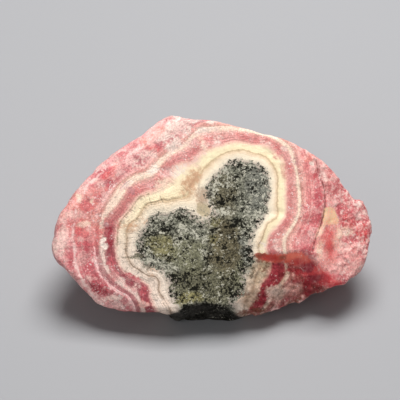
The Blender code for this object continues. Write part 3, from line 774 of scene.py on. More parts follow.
@dataclass(frozen=True)
class Growth:
    """How the bands lie in the stone.

    The boundaries on the face are followed into the stone along the line of sight, where they
    first widen a little and then draw in round the matrix, and wander more the deeper they lie.

    Attributes:
        heart: the middle that the bands widen from and draw in to.
        widening: how much wider the bands are for each millimetre of depth near the face.
        draw_from: depth at which they begin to draw in.
        draw_in: how much they draw in for each millimetre below that.
        matrix_reach: depth inside the matrix over which its edge is felt.
        rim_reach: width of the rough zone outside the last boundary.
        wanders: broad and fine wandering, each by its size, its reach on the face, what each
            millimetre of depth adds to the reach, and its seed.
    """

    heart: Point = (-3.2, 5.2)
    widening: float = 1.0 / 520.0
    draw_from: float = 9.0
    draw_in: float = 0.012
    matrix_reach: float = 6.0
    rim_reach: float = 10.0
    wanders: tuple[tuple[float, float, float, float], ...] = (
        (6.0, 0.10, 0.07, 11.0), (1.5, 0.14, 0.01, 41.0),
    )

    def on_face(self, places: Array) -> Array:
        """Carry places in the stone to where they are seen on the face.

        Args:
            places: places in the stone, one row of three each, with depth along the sight.

        Returns:
            Places on the face, one row of two each.
        """
        depth = places[:, 2]
        deep = np.clip(depth - self.draw_from, 0.0, None)
        heart = np.array(self.heart)
        scale = (1.0 + self.draw_in * deep) / (1.0 + self.widening * depth)
        return (places[:, :2] - heart) * scale[:, None] + heart

    def wander(self, places: Array, seen: Array) -> Array:
        """Let the bands wander.

        Args:
            places: places in the stone, one row of three each.
            seen: places on the face, one row of two each.

        Returns:
            Places on the face with the wandering, one row of two each.
        """
        deep = np.clip(places[:, 2] - self.draw_from, 0.0, None)
        for size, reach, deepening, seed in self.wanders:
            seen = seen + sway_at(places, size, reach + deepening * deep, seed, 17.0)
        return seen

    def bands(self, seen: Array) -> tuple[Array, Array]:
        """Work out the band position and the place along the bands.

        Args:
            seen: places on the face, one row of two each.

        Returns:
            The band position, which is a whole number on each boundary, and the length along
            the outer edge of the red band in millimetres.
        """
        gaps = []
        along = np.zeros(len(seen))
        for boundary in Boundary:
            gap, length = Loop(OUTLINES[boundary]).measure(seen)
            gaps.append(gap)
            if boundary is Boundary.RED_EDGE:
                along = length
        outside = np.stack(gaps, axis=1)
        rank = (outside > 0.0).sum(axis=1)
        rows = np.arange(len(seen))
        last = len(Boundary)
        inner = np.abs(outside[rows, np.clip(rank - 1, 0, last - 1)])
        outer = np.abs(outside[rows, np.clip(rank, 0, last - 1)])
        band = rank + inner / np.maximum(inner + outer, 1e-6)
        band = np.where(rank == 0, 1.0 - np.clip(outer / self.matrix_reach, 0.0, 1.0), band)
        band = np.where(rank == last, last + np.clip(inner / self.rim_reach, 0.0, 1.0), band)
        return band, along


@dataclass
class StoneNet:
    """The fine net that is wrapped round the stone's solid.

    Attributes:
        merge_gap: distance below which corners of the solid are one.
        mesh_size: size of the net's squares.
        smoothing: how often the solid's flat facets are eased.
    """

    merge_gap: float = 0.01 * MM
    mesh_size: float = 0.42 * MM
    smoothing: int = 4

    def wrap(self, node: bpy.types.Object) -> bpy.types.Object:
        """Copy the solid of a node and remesh it evenly.

        Args:
            node: the solid's object, which stays as it is.

        Returns:
            The new piece.
        """
        bpy.ops.object.select_all(action="DESELECT")
        stone = node.copy()
        stone.data = node.data.copy()
        stone.name = "stone"
        stone.data.name = "stone"
        bpy.context.scene.collection.objects.link(stone)
        stone.parent = None
        stone.matrix_world = Matrix.Identity(4)
        stone.select_set(True)
        bpy.context.view_layer.objects.active = stone
        bpy.ops.object.mode_set(mode="EDIT")
        bpy.ops.mesh.select_all(action="SELECT")
        bpy.ops.mesh.remove_doubles(threshold=self.merge_gap)
        bpy.ops.object.mode_set(mode="OBJECT")
        bpy.ops.object.modifier_add(type="REMESH")
        remesh = stone.modifiers[-1]
        remesh.mode = "VOXEL"
        remesh.voxel_size = self.mesh_size
        bpy.ops.object.modifier_apply(modifier=remesh.name)
        bpy.ops.object.modifier_add(type="SMOOTH")
        ease = stone.modifiers[-1]
        ease.factor = 0.5
        ease.iterations = self.smoothing
        bpy.ops.object.modifier_apply(modifier=ease.name)
        return stone


def read_points(mesh: bpy.types.Mesh, name: str = "co") -> Array:
    """Read what a mesh has at its points.

    Args:
        mesh: the mesh.
        name: what to read, the place or the normal.

    Returns:
        One row of three for each point.
    """
    flat = np.empty(len(mesh.vertices) * 3, dtype=np.float32)
    mesh.vertices.foreach_get(name, flat)
    return flat.reshape(-1, 3).astype(float)


@dataclass
class Carving:
    """The relief that the break left on each zone, in millimetres.

    Attributes:
        base_height: height above the ground below which nothing is carved.
        crack_depth: depth of the crack beside the right facet.
        crack_width: half the crack's width.
        flat_relief: height of the coarse relief on the flat face.
        broken_relief: how much more it has where the break is rough.
        matrix_drop: how far the matrix lies below the bands.
        pit_depth: depth of the pits in the matrix.
        pit_sizes: sizes of the large and the small pits.
        cluster_size: size of the clusters that the pits lie in.
        chip_sizes: sizes of the large and the small chips of the broken cleavage.
        grain_size: size of the fine grains.
        margin: how far the whole surface is taken in, so that the relief stays in the solid's box.
    """

    base_height: float = 0.5
    crack_depth: float = 0.45
    crack_width: float = 0.35
    flat_relief: float = 0.05
    broken_relief: float = 0.42
    matrix_drop: float = 0.12
    pit_depth: float = 0.40
    pit_sizes: tuple[float, float] = (1.3, 0.7)
    cluster_size: float = 4.5
    chip_sizes: tuple[float, float] = (3.4, 1.6)
    grain_size: float = 0.9
    margin: float = 0.10

    def pits(self, places: Array, band: Array) -> Array:
        """Scatter pits over the matrix.

        Args:
            places: places in the stone, one row of three each.
            band: band position of each.

        Returns:
            How deep in a pit each place lies, 0 to 1.
        """
        large, small = self.pit_sizes
        level = noise_at(places, large, 71.0) + 0.6 * noise_at(places, small, 73.0)
        clusters = smooth_step(-0.05, 0.35, noise_at(places, self.cluster_size, 79.0))
        return smooth_step(0.40, 0.75, level) * smooth_step(1.0, 0.9, band) * clusters

    def rough(self, depth: Array, band: Array, seen: Array) -> Array:
        """Say how rough the break is, 0 on the flat face and 1 on the sides and the back.

        Args:
            depth: depth of each place below the face.
            band: band position of each.
            seen: places on the face, one row of two each.

        Returns:
            The roughness, less at the left of the face, where the break is smoother.
        """
        side = smooth_step(1.2, 5.0, depth)
        even = smooth_step(2.0, -12.0, seen[:, 0]) * smooth_step(9.0, 6.0, depth)
        level = np.clip(0.16 + 0.30 * smooth_step(5.6, 7.2, band) + 0.8 * side, 0.0, 1.0)
        return level * (1.0 - 0.5 * even)

    def hackles(self, places: Array) -> Array:
        """Give the height of the coarse broken cleavage, about -1 to 1."""
        large, small = self.chip_sizes
        return 0.65 * chips_at(places, large, 3.0) + 0.45 * chips_at(places, small, 23.0)

    def relief(self, places: Array, rough: Array, height: Array,
               matrix: Array, pits: Array, crack_gap: Array) -> Array:
        """Add up the relief.

        Args:
            places: places in the stone, one row of three each.
            rough: how rough the break is at each.
            height: height of the hackles.
            matrix: mask of the matrix.
            pits: how deep in a pit each place lies.
            crack_gap: distance from the crack.

        Returns:
            How far each point moves out along its normal, in millimetres.
        """
        coarse = (self.flat_relief + self.broken_relief * rough) * height
        fine = (0.03 + 0.05 * rough + 0.08 * matrix) * noise_at(places, self.grain_size, 31.0)
        crack = self.crack_depth * np.exp(-(crack_gap / self.crack_width) ** 2)
        return coarse + fine - crack - self.matrix_drop * matrix - self.pit_depth * pits

    def carve(self, stone: bpy.types.Object, relief: Array, box: Array) -> None:
        """Move the stone's points by their relief, but leave the base flat.

        Args:
            stone: the piece to carve.
            relief: how far each point moves out along its normal, in millimetres.
            box: lowest and highest corner of the solid.
        """
        points = read_points(stone.data)
        clear = smooth_step(self.base_height * MM, 2.0 * self.base_height * MM, points[:, 2])
        points += read_points(stone.data, "normal") * ((relief - self.margin) * clear * MM)[:, None]
        points = np.clip(points, box[0], box[1])
        stone.data.vertices.foreach_set("co", points.astype(np.float32).ravel())
        stone.data.update()


def store_number(mesh: bpy.types.Mesh, name: str, values: Array) -> None:
    """Store a number at each of a mesh's points for the material to read."""
    layer = mesh.attributes.new(name, "FLOAT", "POINT")
    layer.data.foreach_set("value", values.astype(np.float32))


def store_colour(mesh: bpy.types.Mesh, name: str, values: Array) -> None:
    """Store a colour with a cover at each of a mesh's points for the material to read."""
    layer = mesh.attributes.new(name, "FLOAT_COLOR", "POINT")
    layer.data.foreach_set("color", values.astype(np.float32).ravel())


@dataclass
class PaintLayer:
    """Coloured patches that are laid over each other.

    Attributes:
        size: how many places it covers.
        base: colour where no patch lies.
        solid: whether the base is a solid colour, and not only a thin wash.
    """

    size: int
    base: Tone
    solid: bool = False
    values: Array = field(init=False)

    def __post_init__(self) -> None:
        """Begin with the base colour and no cover."""
        self.values = np.zeros((self.size, 4))
        self.values[:, :3] = screen_colour(self.base.value)[:3]

    def lay(self, tone: Tone, cover: Array) -> None:
        """Lay a colour over the rest.

        Args:
            tone: the colour.
            cover: how far it covers the rest at each place, 0 to 1.
        """
        total = cover + self.values[:, 3] * (1.0 - cover)
        share = (cover if self.solid else cover / np.maximum(total, 1e-6))[:, None]
        colour = np.array(screen_colour(tone.value)[:3])
        self.values[:, :3] = self.values[:, :3] * (1.0 - share) + colour * share
        self.values[:, 3] = total


class Canvas:
    """Places and links the nodes of one shader tree."""

    def __init__(self, tree: bpy.types.NodeTree) -> None:
        """Keep the tree to work in."""
        self.tree = tree

    def feed(self, socket: Socket, value: object) -> None:
        """Link a socket to another, or set its plain value.

        Args:
            socket: the input to feed.
            value: another node's output, or a plain value.
        """
        if isinstance(value, Socket):
            self.tree.links.new(value, socket)
        else:
            socket.default_value = value

    def place(self, kind: str, inputs: dict[str | int, object] | None = None,
              **settings: object) -> bpy.types.Node:
        """Place a node, set its settings and feed its inputs.

        Args:
            kind: the node's type.
            inputs: what goes into its inputs, by their names or numbers.
            settings: its properties by name.

        Returns:
            The node.
        """
        node = self.tree.nodes.new(kind)
        for name, value in settings.items():
            setattr(node, name, value)
        for name, value in (inputs or {}).items():
            self.feed(node.inputs[name], value)
        count = len(self.tree.nodes)
        node.location = (180.0 * (count % 12), -220.0 * (count // 12))
        return node

    def calc(self, operation: str, *values: object) -> Socket:
        """Calculate with one to three numbers."""
        return self.place("ShaderNodeMath", dict(enumerate(values)), operation=operation).outputs[0]

    def times(self, *values: object) -> Socket:
        """Multiply numbers."""
        return reduce(lambda product, value: self.calc("MULTIPLY", product, value), values)

    def plus(self, *values: object) -> Socket:
        """Add numbers."""
        return reduce(lambda total, value: self.calc("ADD", total, value), values)

    def minus(self, first: object, second: object) -> Socket:
        """Take one number from another."""
        return self.calc("SUBTRACT", first, second)

    def gap(self, first: object, second: object) -> Socket:
        """Give the distance between two numbers."""
        return self.calc("ABSOLUTE", self.minus(first, second))

    def spread(self, value: object, low: float, high: float, to_low: float = 0.0,
               to_high: float = 1.0) -> Socket:
        """Bring a value from one range into another, smoothly and no further."""
        return self.place("ShaderNodeMapRange", {
            "Value": value, "From Min": low, "From Max": high, "To Min": to_low, "To Max": to_high,
        }, interpolation_type="SMOOTHSTEP").outputs["Result"]

    def fade(self, mask: object, bare: float, full: float) -> Socket:
        """Go smoothly from one level to another as a mask rises from 0 to 1."""
        return self.spread(mask, 0.0, 1.0, bare, full)

    def mix(self, share: object, first: object, second: object,
            blend: str = "MIX") -> Socket:
        """Mix two colours, the first where the share is 0 and the second where it is 1."""
        inputs = {"Factor": share, 6: first, 7: second}
        return self.place("ShaderNodeMix", inputs, data_type="RGBA", blend_type=blend).outputs[2]

    def tint(self, colour: object, over: Colour, *shares: object) -> Socket:
        """Lay a colour over another by the product of one or more shares."""
        return self.mix(self.times(*shares), colour, screen_colour(over))

    def shade(self, colour: object, level: object) -> Socket:
        """Multiply a colour by a level."""
        return self.mix(1.0, colour, self.combine(level, level, level), "MULTIPLY")

    def noise_node(self, vector: object, scale: object, detail: float = 2.0,
                   roughness: float = 0.5) -> bpy.types.Node:
        """Place a smooth noise and give its node."""
        inputs = {"Vector": vector, "Scale": scale, "Detail": detail, "Roughness": roughness}
        return self.place("ShaderNodeTexNoise", inputs)

    def noise(self, vector: object, scale: object, detail: float = 2.0,
              roughness: float = 0.5) -> Socket:
        """Sample smooth noise, about 0.3 to 0.7 around a half."""
        return self.noise_node(vector, scale, detail, roughness).outputs["Fac"]

    def parts(self, colour: object) -> Sockets:
        """Part a colour into three numbers."""
        return self.place("ShaderNodeSeparateColor", {0: colour}).outputs

    def noises(self, vector: object, scale: object, detail: float,
               roughness: float) -> Sockets:
        """Sample three smooth noises that don't follow each other."""
        return self.parts(self.noise_node(vector, scale, detail, roughness).outputs["Color"])

    def cells(self, vector: object, scale: object, **settings: object) -> bpy.types.Node:
        """Place a cell pattern and give its node."""
        return self.place("ShaderNodeTexVoronoi", {"Vector": vector, "Scale": scale}, **settings)

    def cell_edges(self, vector: object, scale: object) -> Socket:
        """Give the distance from the edge between two cells."""
        return self.cells(vector, scale, feature="DISTANCE_TO_EDGE").outputs["Distance"]

    def cell_tone(self, vector: object, scale: object) -> Socket:
        """Give each cell of a pattern a level of its own."""
        return self.parts(self.cells(vector, scale).outputs["Color"])[0]

    def bend(self, vector: object, scale: float, amount: float) -> Socket:
        """Shift a place by noise, so that what is drawn there is uneven."""
        inputs = {0: self.noise_node(vector, scale).outputs["Color"], 1: (2.0 * amount,) * 3, 2: vector}
        return self.place("ShaderNodeVectorMath", inputs, operation="MULTIPLY_ADD").outputs[0]

    def ramp(self, value: object, stops: tuple[tuple[float, Colour], ...],
             span: float) -> Socket:
        """Colour a value by a row of stops.

        Args:
            value: the value to colour.
            stops: places along the row and their colours.
            span: the place at the end of the row.

        Returns:
            The colour.
        """
        node = self.place("ShaderNodeValToRGB", {"Fac": self.calc("DIVIDE", value, span)})
        ramp = node.color_ramp
        while len(ramp.elements) < len(stops):
            ramp.elements.new(0.5)
        for element, (position, colour) in zip(ramp.elements, stops):
            element.position = position / span
            element.color = screen_colour(colour)
        return node.outputs["Color"]

    def attribute(self, name: str) -> bpy.types.Node:
        """Read what the mesh stores under a name."""
        return self.place("ShaderNodeAttribute", attribute_name=name)

    def number(self, name: str) -> Socket:
        """Read a number that the mesh stores under a name."""
        return self.attribute(name).outputs["Fac"]

    def combine(self, x: object, y: object, z: object) -> Socket:
        """Join three numbers into a vector."""
        return self.place("ShaderNodeCombineXYZ", {"X": x, "Y": y, "Z": z}).outputs[0]

    def group(self, name: str, **values: object) -> Sockets:
        """Place a node group, feed its inputs by name and give its outputs."""
        tree = bpy.data.node_groups[name]
        return self.place("ShaderNodeGroup", values, node_tree=tree).outputs


class Effect:
    """A shared effect, built as a shader node group with named inputs and outputs.

    Attributes:
        name: the group's name.
        inputs: names of its inputs, of which the one called Vector is a vector.
        outputs: names of its outputs, all numbers.
        canvas: a canvas on the group.
        given: what comes in.
        result: what goes out.
    """

    name: str = ""
    inputs: tuple[str, ...] = ()
    outputs: tuple[str, ...] = ()

    def __init__(self) -> None:
        """Begin the group and name its sockets."""
        tree = bpy.data.node_groups.new(self.name, "ShaderNodeTree")
        for title in self.inputs:
            kind = "NodeSocketVector" if title == "Vector" else "NodeSocketFloat"
            tree.interface.new_socket(title, in_out="INPUT", socket_type=kind)
        for title in self.outputs:
            tree.interface.new_socket(title, in_out="OUTPUT", socket_type="NodeSocketFloat")
        self.canvas = Canvas(tree)
        self.given = self.canvas.place("NodeGroupInput").outputs
        self.result = self.canvas.place("NodeGroupOutput").inputs

    def give(self, **values: object) -> None:
        """Feed the group's outputs by name."""
        for title, value in values.items():
            self.canvas.feed(self.result[title], value)


class BlotchEffect(Effect):
    """Soft clouds in clear crystal, and blocks of it parted by pale veins."""

    name = "blotches"
    inputs = ("Vector", "Size")
    outputs = ("Pale", "Deep", "Veins")

    def build(self) -> None:
        """Build the group: place and size in, pale, deep and vein masks out."""
        canvas, place, size = self.canvas, self.given["Vector"], self.given["Size"]
        clouds = canvas.spread(canvas.noise(place, size, 4.0, 0.6), 0.37, 0.63)
        bent = canvas.bend(place, 420.0, 1.3 * MM)
        chips = canvas.cell_tone(canvas.bend(place, 1100.0, 0.5 * MM), canvas.times(size, 3.2))
        level = canvas.plus(canvas.times(clouds, 0.36), canvas.times(canvas.cell_tone(bent, size), 0.42),
                            canvas.times(chips, 0.22))
        broken = canvas.spread(canvas.noise(place, 300.0), 0.42, 0.60)
        veins = canvas.spread(canvas.cell_edges(bent, size), 0.10, 0.01)
        self.give(Pale=canvas.spread(level, 0.52, 0.80), Deep=canvas.spread(level, 0.46, 0.20),
                  Veins=canvas.times(veins, broken))


class GrainEffect(Effect):
    """Crushed grains, each with a tone of its own and a darker edge."""

    name = "grains"
    inputs = ("Vector", "Size")
    outputs = ("Pale", "Deep")

    def build(self) -> None:
        """Build the group: place and size in, pale and deep masks out."""
        canvas, place, size = self.canvas, self.given["Vector"], self.given["Size"]
        bent = canvas.bend(place, 1300.0, 0.5 * MM)
        lump = canvas.spread(canvas.cells(bent, size).outputs["Distance"], 0.75, 0.15)
        fine = canvas.spread(canvas.noise(place, 1600.0, 4.0, 0.7), 0.3, 0.7)
        level = canvas.plus(canvas.times(canvas.cell_tone(bent, size), 0.46), canvas.times(lump, 0.18),
                            canvas.times(fine, 0.36))
        self.give(Pale=canvas.spread(level, 0.54, 0.76), Deep=canvas.spread(level, 0.46, 0.24))


class FibreEffect(Effect):
    """Fine crystal fibres that stand across the bands, and faint lines along them."""

    name = "fibres"
    inputs = ("Band", "Along", "Density")
    outputs = ("Streaks", "Gaps", "Lines")

    def build(self) -> None:
        """Build the group: band, along and density in, streaks, gaps and lines out."""
        canvas, band, along = self.canvas, self.given["Band"], self.given["Along"]
        dense = canvas.times(along, self.given["Density"])
        stretch = canvas.times(band, 1.7)
        streaks = canvas.noise(canvas.combine(dense, stretch, 0.0), 1.0, 3.0, 0.6)
        gaps = canvas.noise(canvas.combine(canvas.times(dense, 0.42), stretch, 9.0), 1.0, 2.0, 0.5)
        wide = canvas.combine(canvas.times(along, 0.10), canvas.times(band, 8.0), 3.0)
        lines = canvas.noise(wide, 1.0, 2.0, 0.6)
        self.give(Streaks=canvas.spread(streaks, *NOISE_SPAN), Gaps=canvas.spread(gaps, 0.44, 0.36),
                  Lines=canvas.spread(lines, 0.30, 0.70))


class CrumbEffect(Effect):
    """Small pale crumbs of broken crystal, in clusters."""

    name = "crumbs"
    inputs = ("Vector", "Size", "Cluster")
    outputs = ("Mask",)

    def build(self) -> None:
        """Build the group: place, crumb and cluster size in, mask out."""
        canvas, place = self.canvas, self.given["Vector"]
        crumbs = canvas.spread(canvas.noise(place, self.given["Size"], 3.0, 0.6), 0.55, 0.66)
        clusters = canvas.spread(canvas.noise(place, self.given["Cluster"], 3.0, 0.6), 0.46, 0.62)
        self.give(Mask=canvas.times(crumbs, clusters))


class SparkleEffect(Effect):
    """Small cleavage faces, scattered in clusters: the mask of the painted glints."""

    name = "sparkle"
    inputs = ("Vector", "Size", "Amount")
    outputs = ("Mask",)

    def build(self) -> None:
        """Build the group: place, size and amount in, mask out."""
        canvas, place = self.canvas, self.given["Vector"]
        cells = canvas.cells(place, self.given["Size"]).outputs
        clusters = canvas.spread(canvas.noise(place, 380.0, 3.0, 0.6), 0.42, 0.62)
        limit = canvas.times(self.given["Amount"], clusters)
        chosen = canvas.calc("LESS_THAN", canvas.parts(cells["Color"])[1], limit)
        self.give(Mask=canvas.times(chosen, canvas.spread(cells["Distance"], 0.55, 0.25)))


@dataclass(frozen=True)
class BandFinish:
    """Colours of the carbonate bands, by band position.

    Attributes:
        span: the band position at the end of the rows of colours.
        rosy: the cooler and deeper colours on the left.
        warm: the warmer and lighter colours on the right.
        fresh: colour of the red band where it is freshly broken, in the recess.
        recess_dust_and_shade: what the colours are multiplied by in the recess: a dusty wash and painted
            shade under the ledge.
        pale: colour of crushed grains.
        deep: colour of clear grains.
        glint: painted glint colour on the cleavage faces, also the colour of the pale crumbs.
        rim_cream: colour that half hides the growth line in the recess.
        fine_line: colour of the thin line in the outer zone.
        second_line: colour of the second growth line.
        crack: colour of the crack beside the right facet.
        cloud_size: clouds and blocks per metre.
        grain_size: crushed grains per metre.
        crumb_size: pale crumbs per metre.
        cluster_size: clusters of crumbs per metre.
        glint_size: cleavage faces per metre, of which few are seen.
        glint_amount: share of them that is seen.
        fibre_density: fibres per millimetre.
    """

    span: float = 8.0
    rosy: tuple[tuple[float, Colour], ...] = (
        (0.90, (176, 164, 150)), (1.10, (196, 180, 166)), (1.30, (212, 194, 176)),
        (1.46, (242, 224, 206)), (1.80, (232, 211, 192)), (1.93, (206, 182, 162)),
        (2.00, (170, 144, 124)), (2.08, (208, 184, 164)), (2.20, (236, 214, 196)),
        (2.62, (242, 218, 200)), (2.84, (238, 196, 180)), (2.93, (222, 168, 158)),
        (3.01, (172, 104, 102)), (3.20, (152, 72, 78)), (3.60, (146, 64, 72)),
        (3.92, (156, 86, 90)), (4.02, (176, 130, 122)), (4.16, (226, 192, 180)),
        (4.65, (238, 208, 196)), (4.90, (212, 170, 160)), (5.12, (176, 114, 113)),
        (5.60, (170, 106, 107)), (5.80, (190, 126, 126)), (5.90, (248, 202, 197)),
        (6.04, (248, 198, 193)), (6.14, (198, 124, 124)), (6.30, (184, 104, 108)),
        (6.60, (200, 122, 124)), (6.92, (212, 144, 142)), (7.02, (242, 198, 190)),
        (7.12, (226, 164, 161)), (8.00, (230, 174, 170)),
    )
    warm: tuple[tuple[float, Colour], ...] = (
        (0.90, (196, 184, 168)), (1.04, (214, 198, 180)), (1.24, (238, 224, 200)),
        (1.55, (250, 231, 203)), (1.80, (240, 215, 183)), (1.94, (216, 189, 154)),
        (2.00, (204, 176, 140)), (2.07, (232, 208, 170)), (2.18, (251, 232, 192)),
        (2.58, (250, 230, 194)), (2.75, (245, 210, 184)), (2.92, (238, 186, 170)),
        (3.04, (219, 149, 140)), (3.25, (208, 129, 124)), (3.58, (209, 131, 125)),
        (3.76, (224, 156, 146)), (3.90, (222, 166, 153)), (4.02, (240, 198, 178)),
        (4.18, (254, 226, 202)), (4.75, (253, 222, 200)), (4.97, (222, 174, 156)),
        (5.20, (216, 154, 142)), (5.60, (228, 164, 152)), (5.86, (246, 182, 170)),
        (6.00, (242, 178, 167)), (6.08, (219, 142, 136)), (6.30, (219, 136, 132)),
        (6.55, (204, 112, 114)), (6.85, (210, 120, 119)), (7.02, (221, 147, 140)),
        (7.15, (214, 131, 127)), (8.00, (220, 148, 144)),
    )
    fresh: Colour = (170, 50, 68)
    recess_dust_and_shade: Colour = (196, 184, 173)
    pale: Colour = (246, 208, 197)
    deep: Colour = (192, 82, 88)
    glint: Colour = (252, 236, 228)
    rim_cream: Colour = (222, 204, 180)
    fine_line: Colour = (246, 212, 204)
    second_line: Colour = (150, 118, 92)
    crack: Colour = (110, 44, 42)
    cloud_size: float = 285.0
    grain_size: float = 820.0
    crumb_size: float = 1500.0
    cluster_size: float = 330.0
    glint_size: float = 2600.0
    glint_amount: float = 0.05
    fibre_density: float = 2.6


@dataclass(frozen=True)
class MatrixFinish:
    """Colours of the matrix grains.

    Attributes:
        grain_size: grains per metre.
        clump_size: clumps of grains per metre.
        speck: colour of the pale specks.
        pit: colour of the pits.
        speck_level: levels of the grains between which the specks appear.
        pit_level: levels of the grains between which the pits appear.
        speck_cover: how far the specks' colour covers the stone.
        pit_cover: how far the pits' colour covers it.
        bias_reach: how far a bias of 1 shifts the grains.
    """

    grain_size: float = 1450.0
    clump_size: float = 430.0
    speck: Colour = (196, 192, 174)
    pit: Colour = (18, 17, 11)
    speck_level: tuple[float, float] = (0.532, 0.552)
    pit_level: tuple[float, float] = (0.523, 0.541)
    speck_cover: float = 0.88
    pit_cover: float = 0.97
    bias_reach: float = 0.17


@dataclass(frozen=True)
class StoneFinish:
    """The whole stone's finish.

    Attributes:
        bands: finish of the carbonate bands.
        matrix: finish of the matrix.
        dull: roughness of the rough grains.
        satin: roughness of the smooth bands.
        glossy: roughness of the cleavage faces.
        glow: share of the light that passes under the surface of the smooth facets.
        glow_depth: how far it passes there.
        glow_colours: how far red, green and blue light pass, compared with each other.
        bump_depth: height of the finest grains.
    """

    bands: BandFinish = field(default_factory=BandFinish)
    matrix: MatrixFinish = field(default_factory=MatrixFinish)
    dull: float = 0.75
    satin: float = 0.52
    glossy: float = 0.30
    glow: float = 0.9
    glow_depth: float = 3.5 * MM
    glow_colours: tuple[float, float, float] = (1.0, 0.35, 0.25)
    bump_depth: float = 0.17 * MM

    def material(self) -> bpy.types.Material:
        """Build the stone's material.

        Returns:
            The material.
        """
        material = bpy.data.materials.new("banded_stone")
        material.use_nodes = True
        wiring = StoneWiring(Canvas(material.node_tree), self)
        wiring.finish_shader(material.node_tree.nodes["Principled BSDF"])
        return material


class StoneWiring:
    """The nodes of the stone's material, which read what the mesh stores.

    Attributes:
        canvas: the material's canvas.
        finish: the stone's finish.
        place: the place in the stone.
        band: the band position.
        warm: how warm and light the bands are.
        smooth: how far a place lies on a smooth facet.
        recess: how far it lies in the recess.
        toothed: how toothed the cream bands are.
        fibres: the fibres' masks.
        in_matrix: mask of the matrix.
    """

    def __init__(self, canvas: Canvas, finish: StoneFinish) -> None:
        """Place the nodes that more than one step reads.

        Args:
            canvas: the material's canvas.
            finish: the stone's finish.
        """
        self.canvas = canvas
        self.finish = finish
        self.place = canvas.place("ShaderNodeTexCoord").outputs["Object"]
        self.band = canvas.number("band")
        self.warm = canvas.number("warm")
        self.smooth = canvas.number("smooth")
        self.recess = canvas.number("recess")
        self.toothed = canvas.number("toothed")
        self.fibres = canvas.group("fibres", Band=self.band, Along=canvas.number("along"),
                                   Density=self.finish.bands.fibre_density)
        ragged = self.speckled(1000.0, 5.0, 0.8, 0.15, -0.34, 0.34)
        self.in_matrix = canvas.spread(canvas.plus(self.band, ragged), 1.08, 0.98)

    def speckled(self, scale: float, detail: float, roughness: float, reach: float, low: float,
                 high: float) -> Socket:
        """Give noise between two levels.

        Args:
            scale: lumps per metre.
            detail: how many finer layers it has.
            roughness: how strong they are.
            reach: how far from a half the noise is spread over the levels.
            low: the lowest level.
            high: the highest level.

        Returns:
            The level.
        """
        raw = self.canvas.noise(self.place, scale, detail, roughness)
        return self.canvas.spread(raw, 0.5 - reach, 0.5 + reach, low, high)

    def finish_shader(self, shader: bpy.types.Node) -> None:
        """Feed the shader with the stone's colour, gloss and relief.

        Args:
            shader: the material's shader.
        """
        canvas, finish = self.canvas, self.finish
        glints = canvas.group("sparkle", Vector=self.place, Size=finish.bands.glint_size,
                              Amount=finish.bands.glint_amount)["Mask"]
        colour = self.stained_and_shaded(self.banded(), 1.0)
        colour = self.stained_and_shaded(self.crushed(colour), 0.55)
        colour = self.dusted_and_shaded(self.lined(self.fibrous(colour)))
        colour = canvas.mix(self.in_matrix, colour, self.granular())
        pink = canvas.spread(self.band, *PINK_START)
        # Painted glints: the sparkle mask lays a near-white colour on the pink bands; it also lowers the
        # roughness there
        canvas.feed(shader.inputs["Base Color"], canvas.tint(colour, finish.bands.glint, glints, pink, 0.6))
        rough = canvas.fade(self.in_matrix, finish.satin, finish.dull)
        gloss = canvas.times(glints, canvas.minus(rough, finish.glossy))
        canvas.feed(shader.inputs["Roughness"], canvas.minus(rough, gloss))
        plain = canvas.fade(canvas.plus(self.recess, self.smooth), 1.0, 0.2)
        shine = canvas.times(canvas.fade(self.in_matrix, 0.28, 0.08), plain)
        canvas.feed(shader.inputs["Specular IOR Level"], shine)
        canvas.feed(shader.inputs["Subsurface Weight"], canvas.times(self.smooth, finish.glow))
        shader.inputs["Subsurface Radius"].default_value = finish.glow_colours
        shader.inputs["Subsurface Scale"].default_value = finish.glow_depth
        canvas.feed(shader.inputs["Normal"], self.fine_relief())

    def banded(self) -> Socket:
        """Colour the bands.

        Returns:
            The colour.
        """
        canvas, bands = self.canvas, self.finish.bands
        wavy = canvas.plus(self.band, self.speckled(900.0, 4.0, 0.65, 0.2, -0.07, 0.07))
        rosy = canvas.ramp(wavy, bands.rosy, bands.span)
        warm = canvas.ramp(wavy, bands.warm, bands.span)
        colour = canvas.mix(self.warm, rosy, warm)
        red = canvas.times(canvas.spread(self.band, *RED_START), canvas.spread(self.band, *RED_END))
        colour = canvas.tint(colour, bands.fresh, self.recess, red, 0.85)
        near_line = canvas.spread(canvas.gap(self.band, float(Boundary.GROWTH_LINE)), 0.22, 0.02)
        return canvas.tint(colour, bands.rim_cream, self.recess, near_line, 0.6)

    def stained_and_shaded(self, colour: Socket, strength: float) -> Socket:
        """Lay the patches over the bands, with the painted shade of the underside and of the recess rim
        among them.

        Args:
            colour: the colour so far.
            strength: how far the patches cover it.

        Returns:
            The colour.
        """
        canvas = self.canvas
        stain_and_shade = canvas.attribute("stain_and_shade").outputs
        cover = stain_and_shade["Alpha"]
        loose = canvas.times(canvas.spread(cover, 0.0, 0.3), canvas.spread(cover, 1.0, 0.7))
        patchy = self.speckled(1000.0, 4.0, 0.7, 0.14, -0.30, 0.30)
        cover = canvas.fade(canvas.plus(canvas.times(patchy, loose), cover), 0.0, strength)
        return canvas.mix(cover, colour, stain_and_shade["Color"])

    def dusted_and_shaded(self, colour: Socket) -> Socket:
        """Darken the recess with a dusty wash and painted shade under the ledge.

        Args:
            colour: the colour so far.

        Returns:
            The colour.
        """
        dust_and_shade = self.speckled(520.0, 4.0, 0.7, 0.14, 0.55, 1.0)
        wash = screen_colour(self.finish.bands.recess_dust_and_shade)
        return self.canvas.mix(self.canvas.times(self.recess, dust_and_shade), colour, wash, "MULTIPLY")

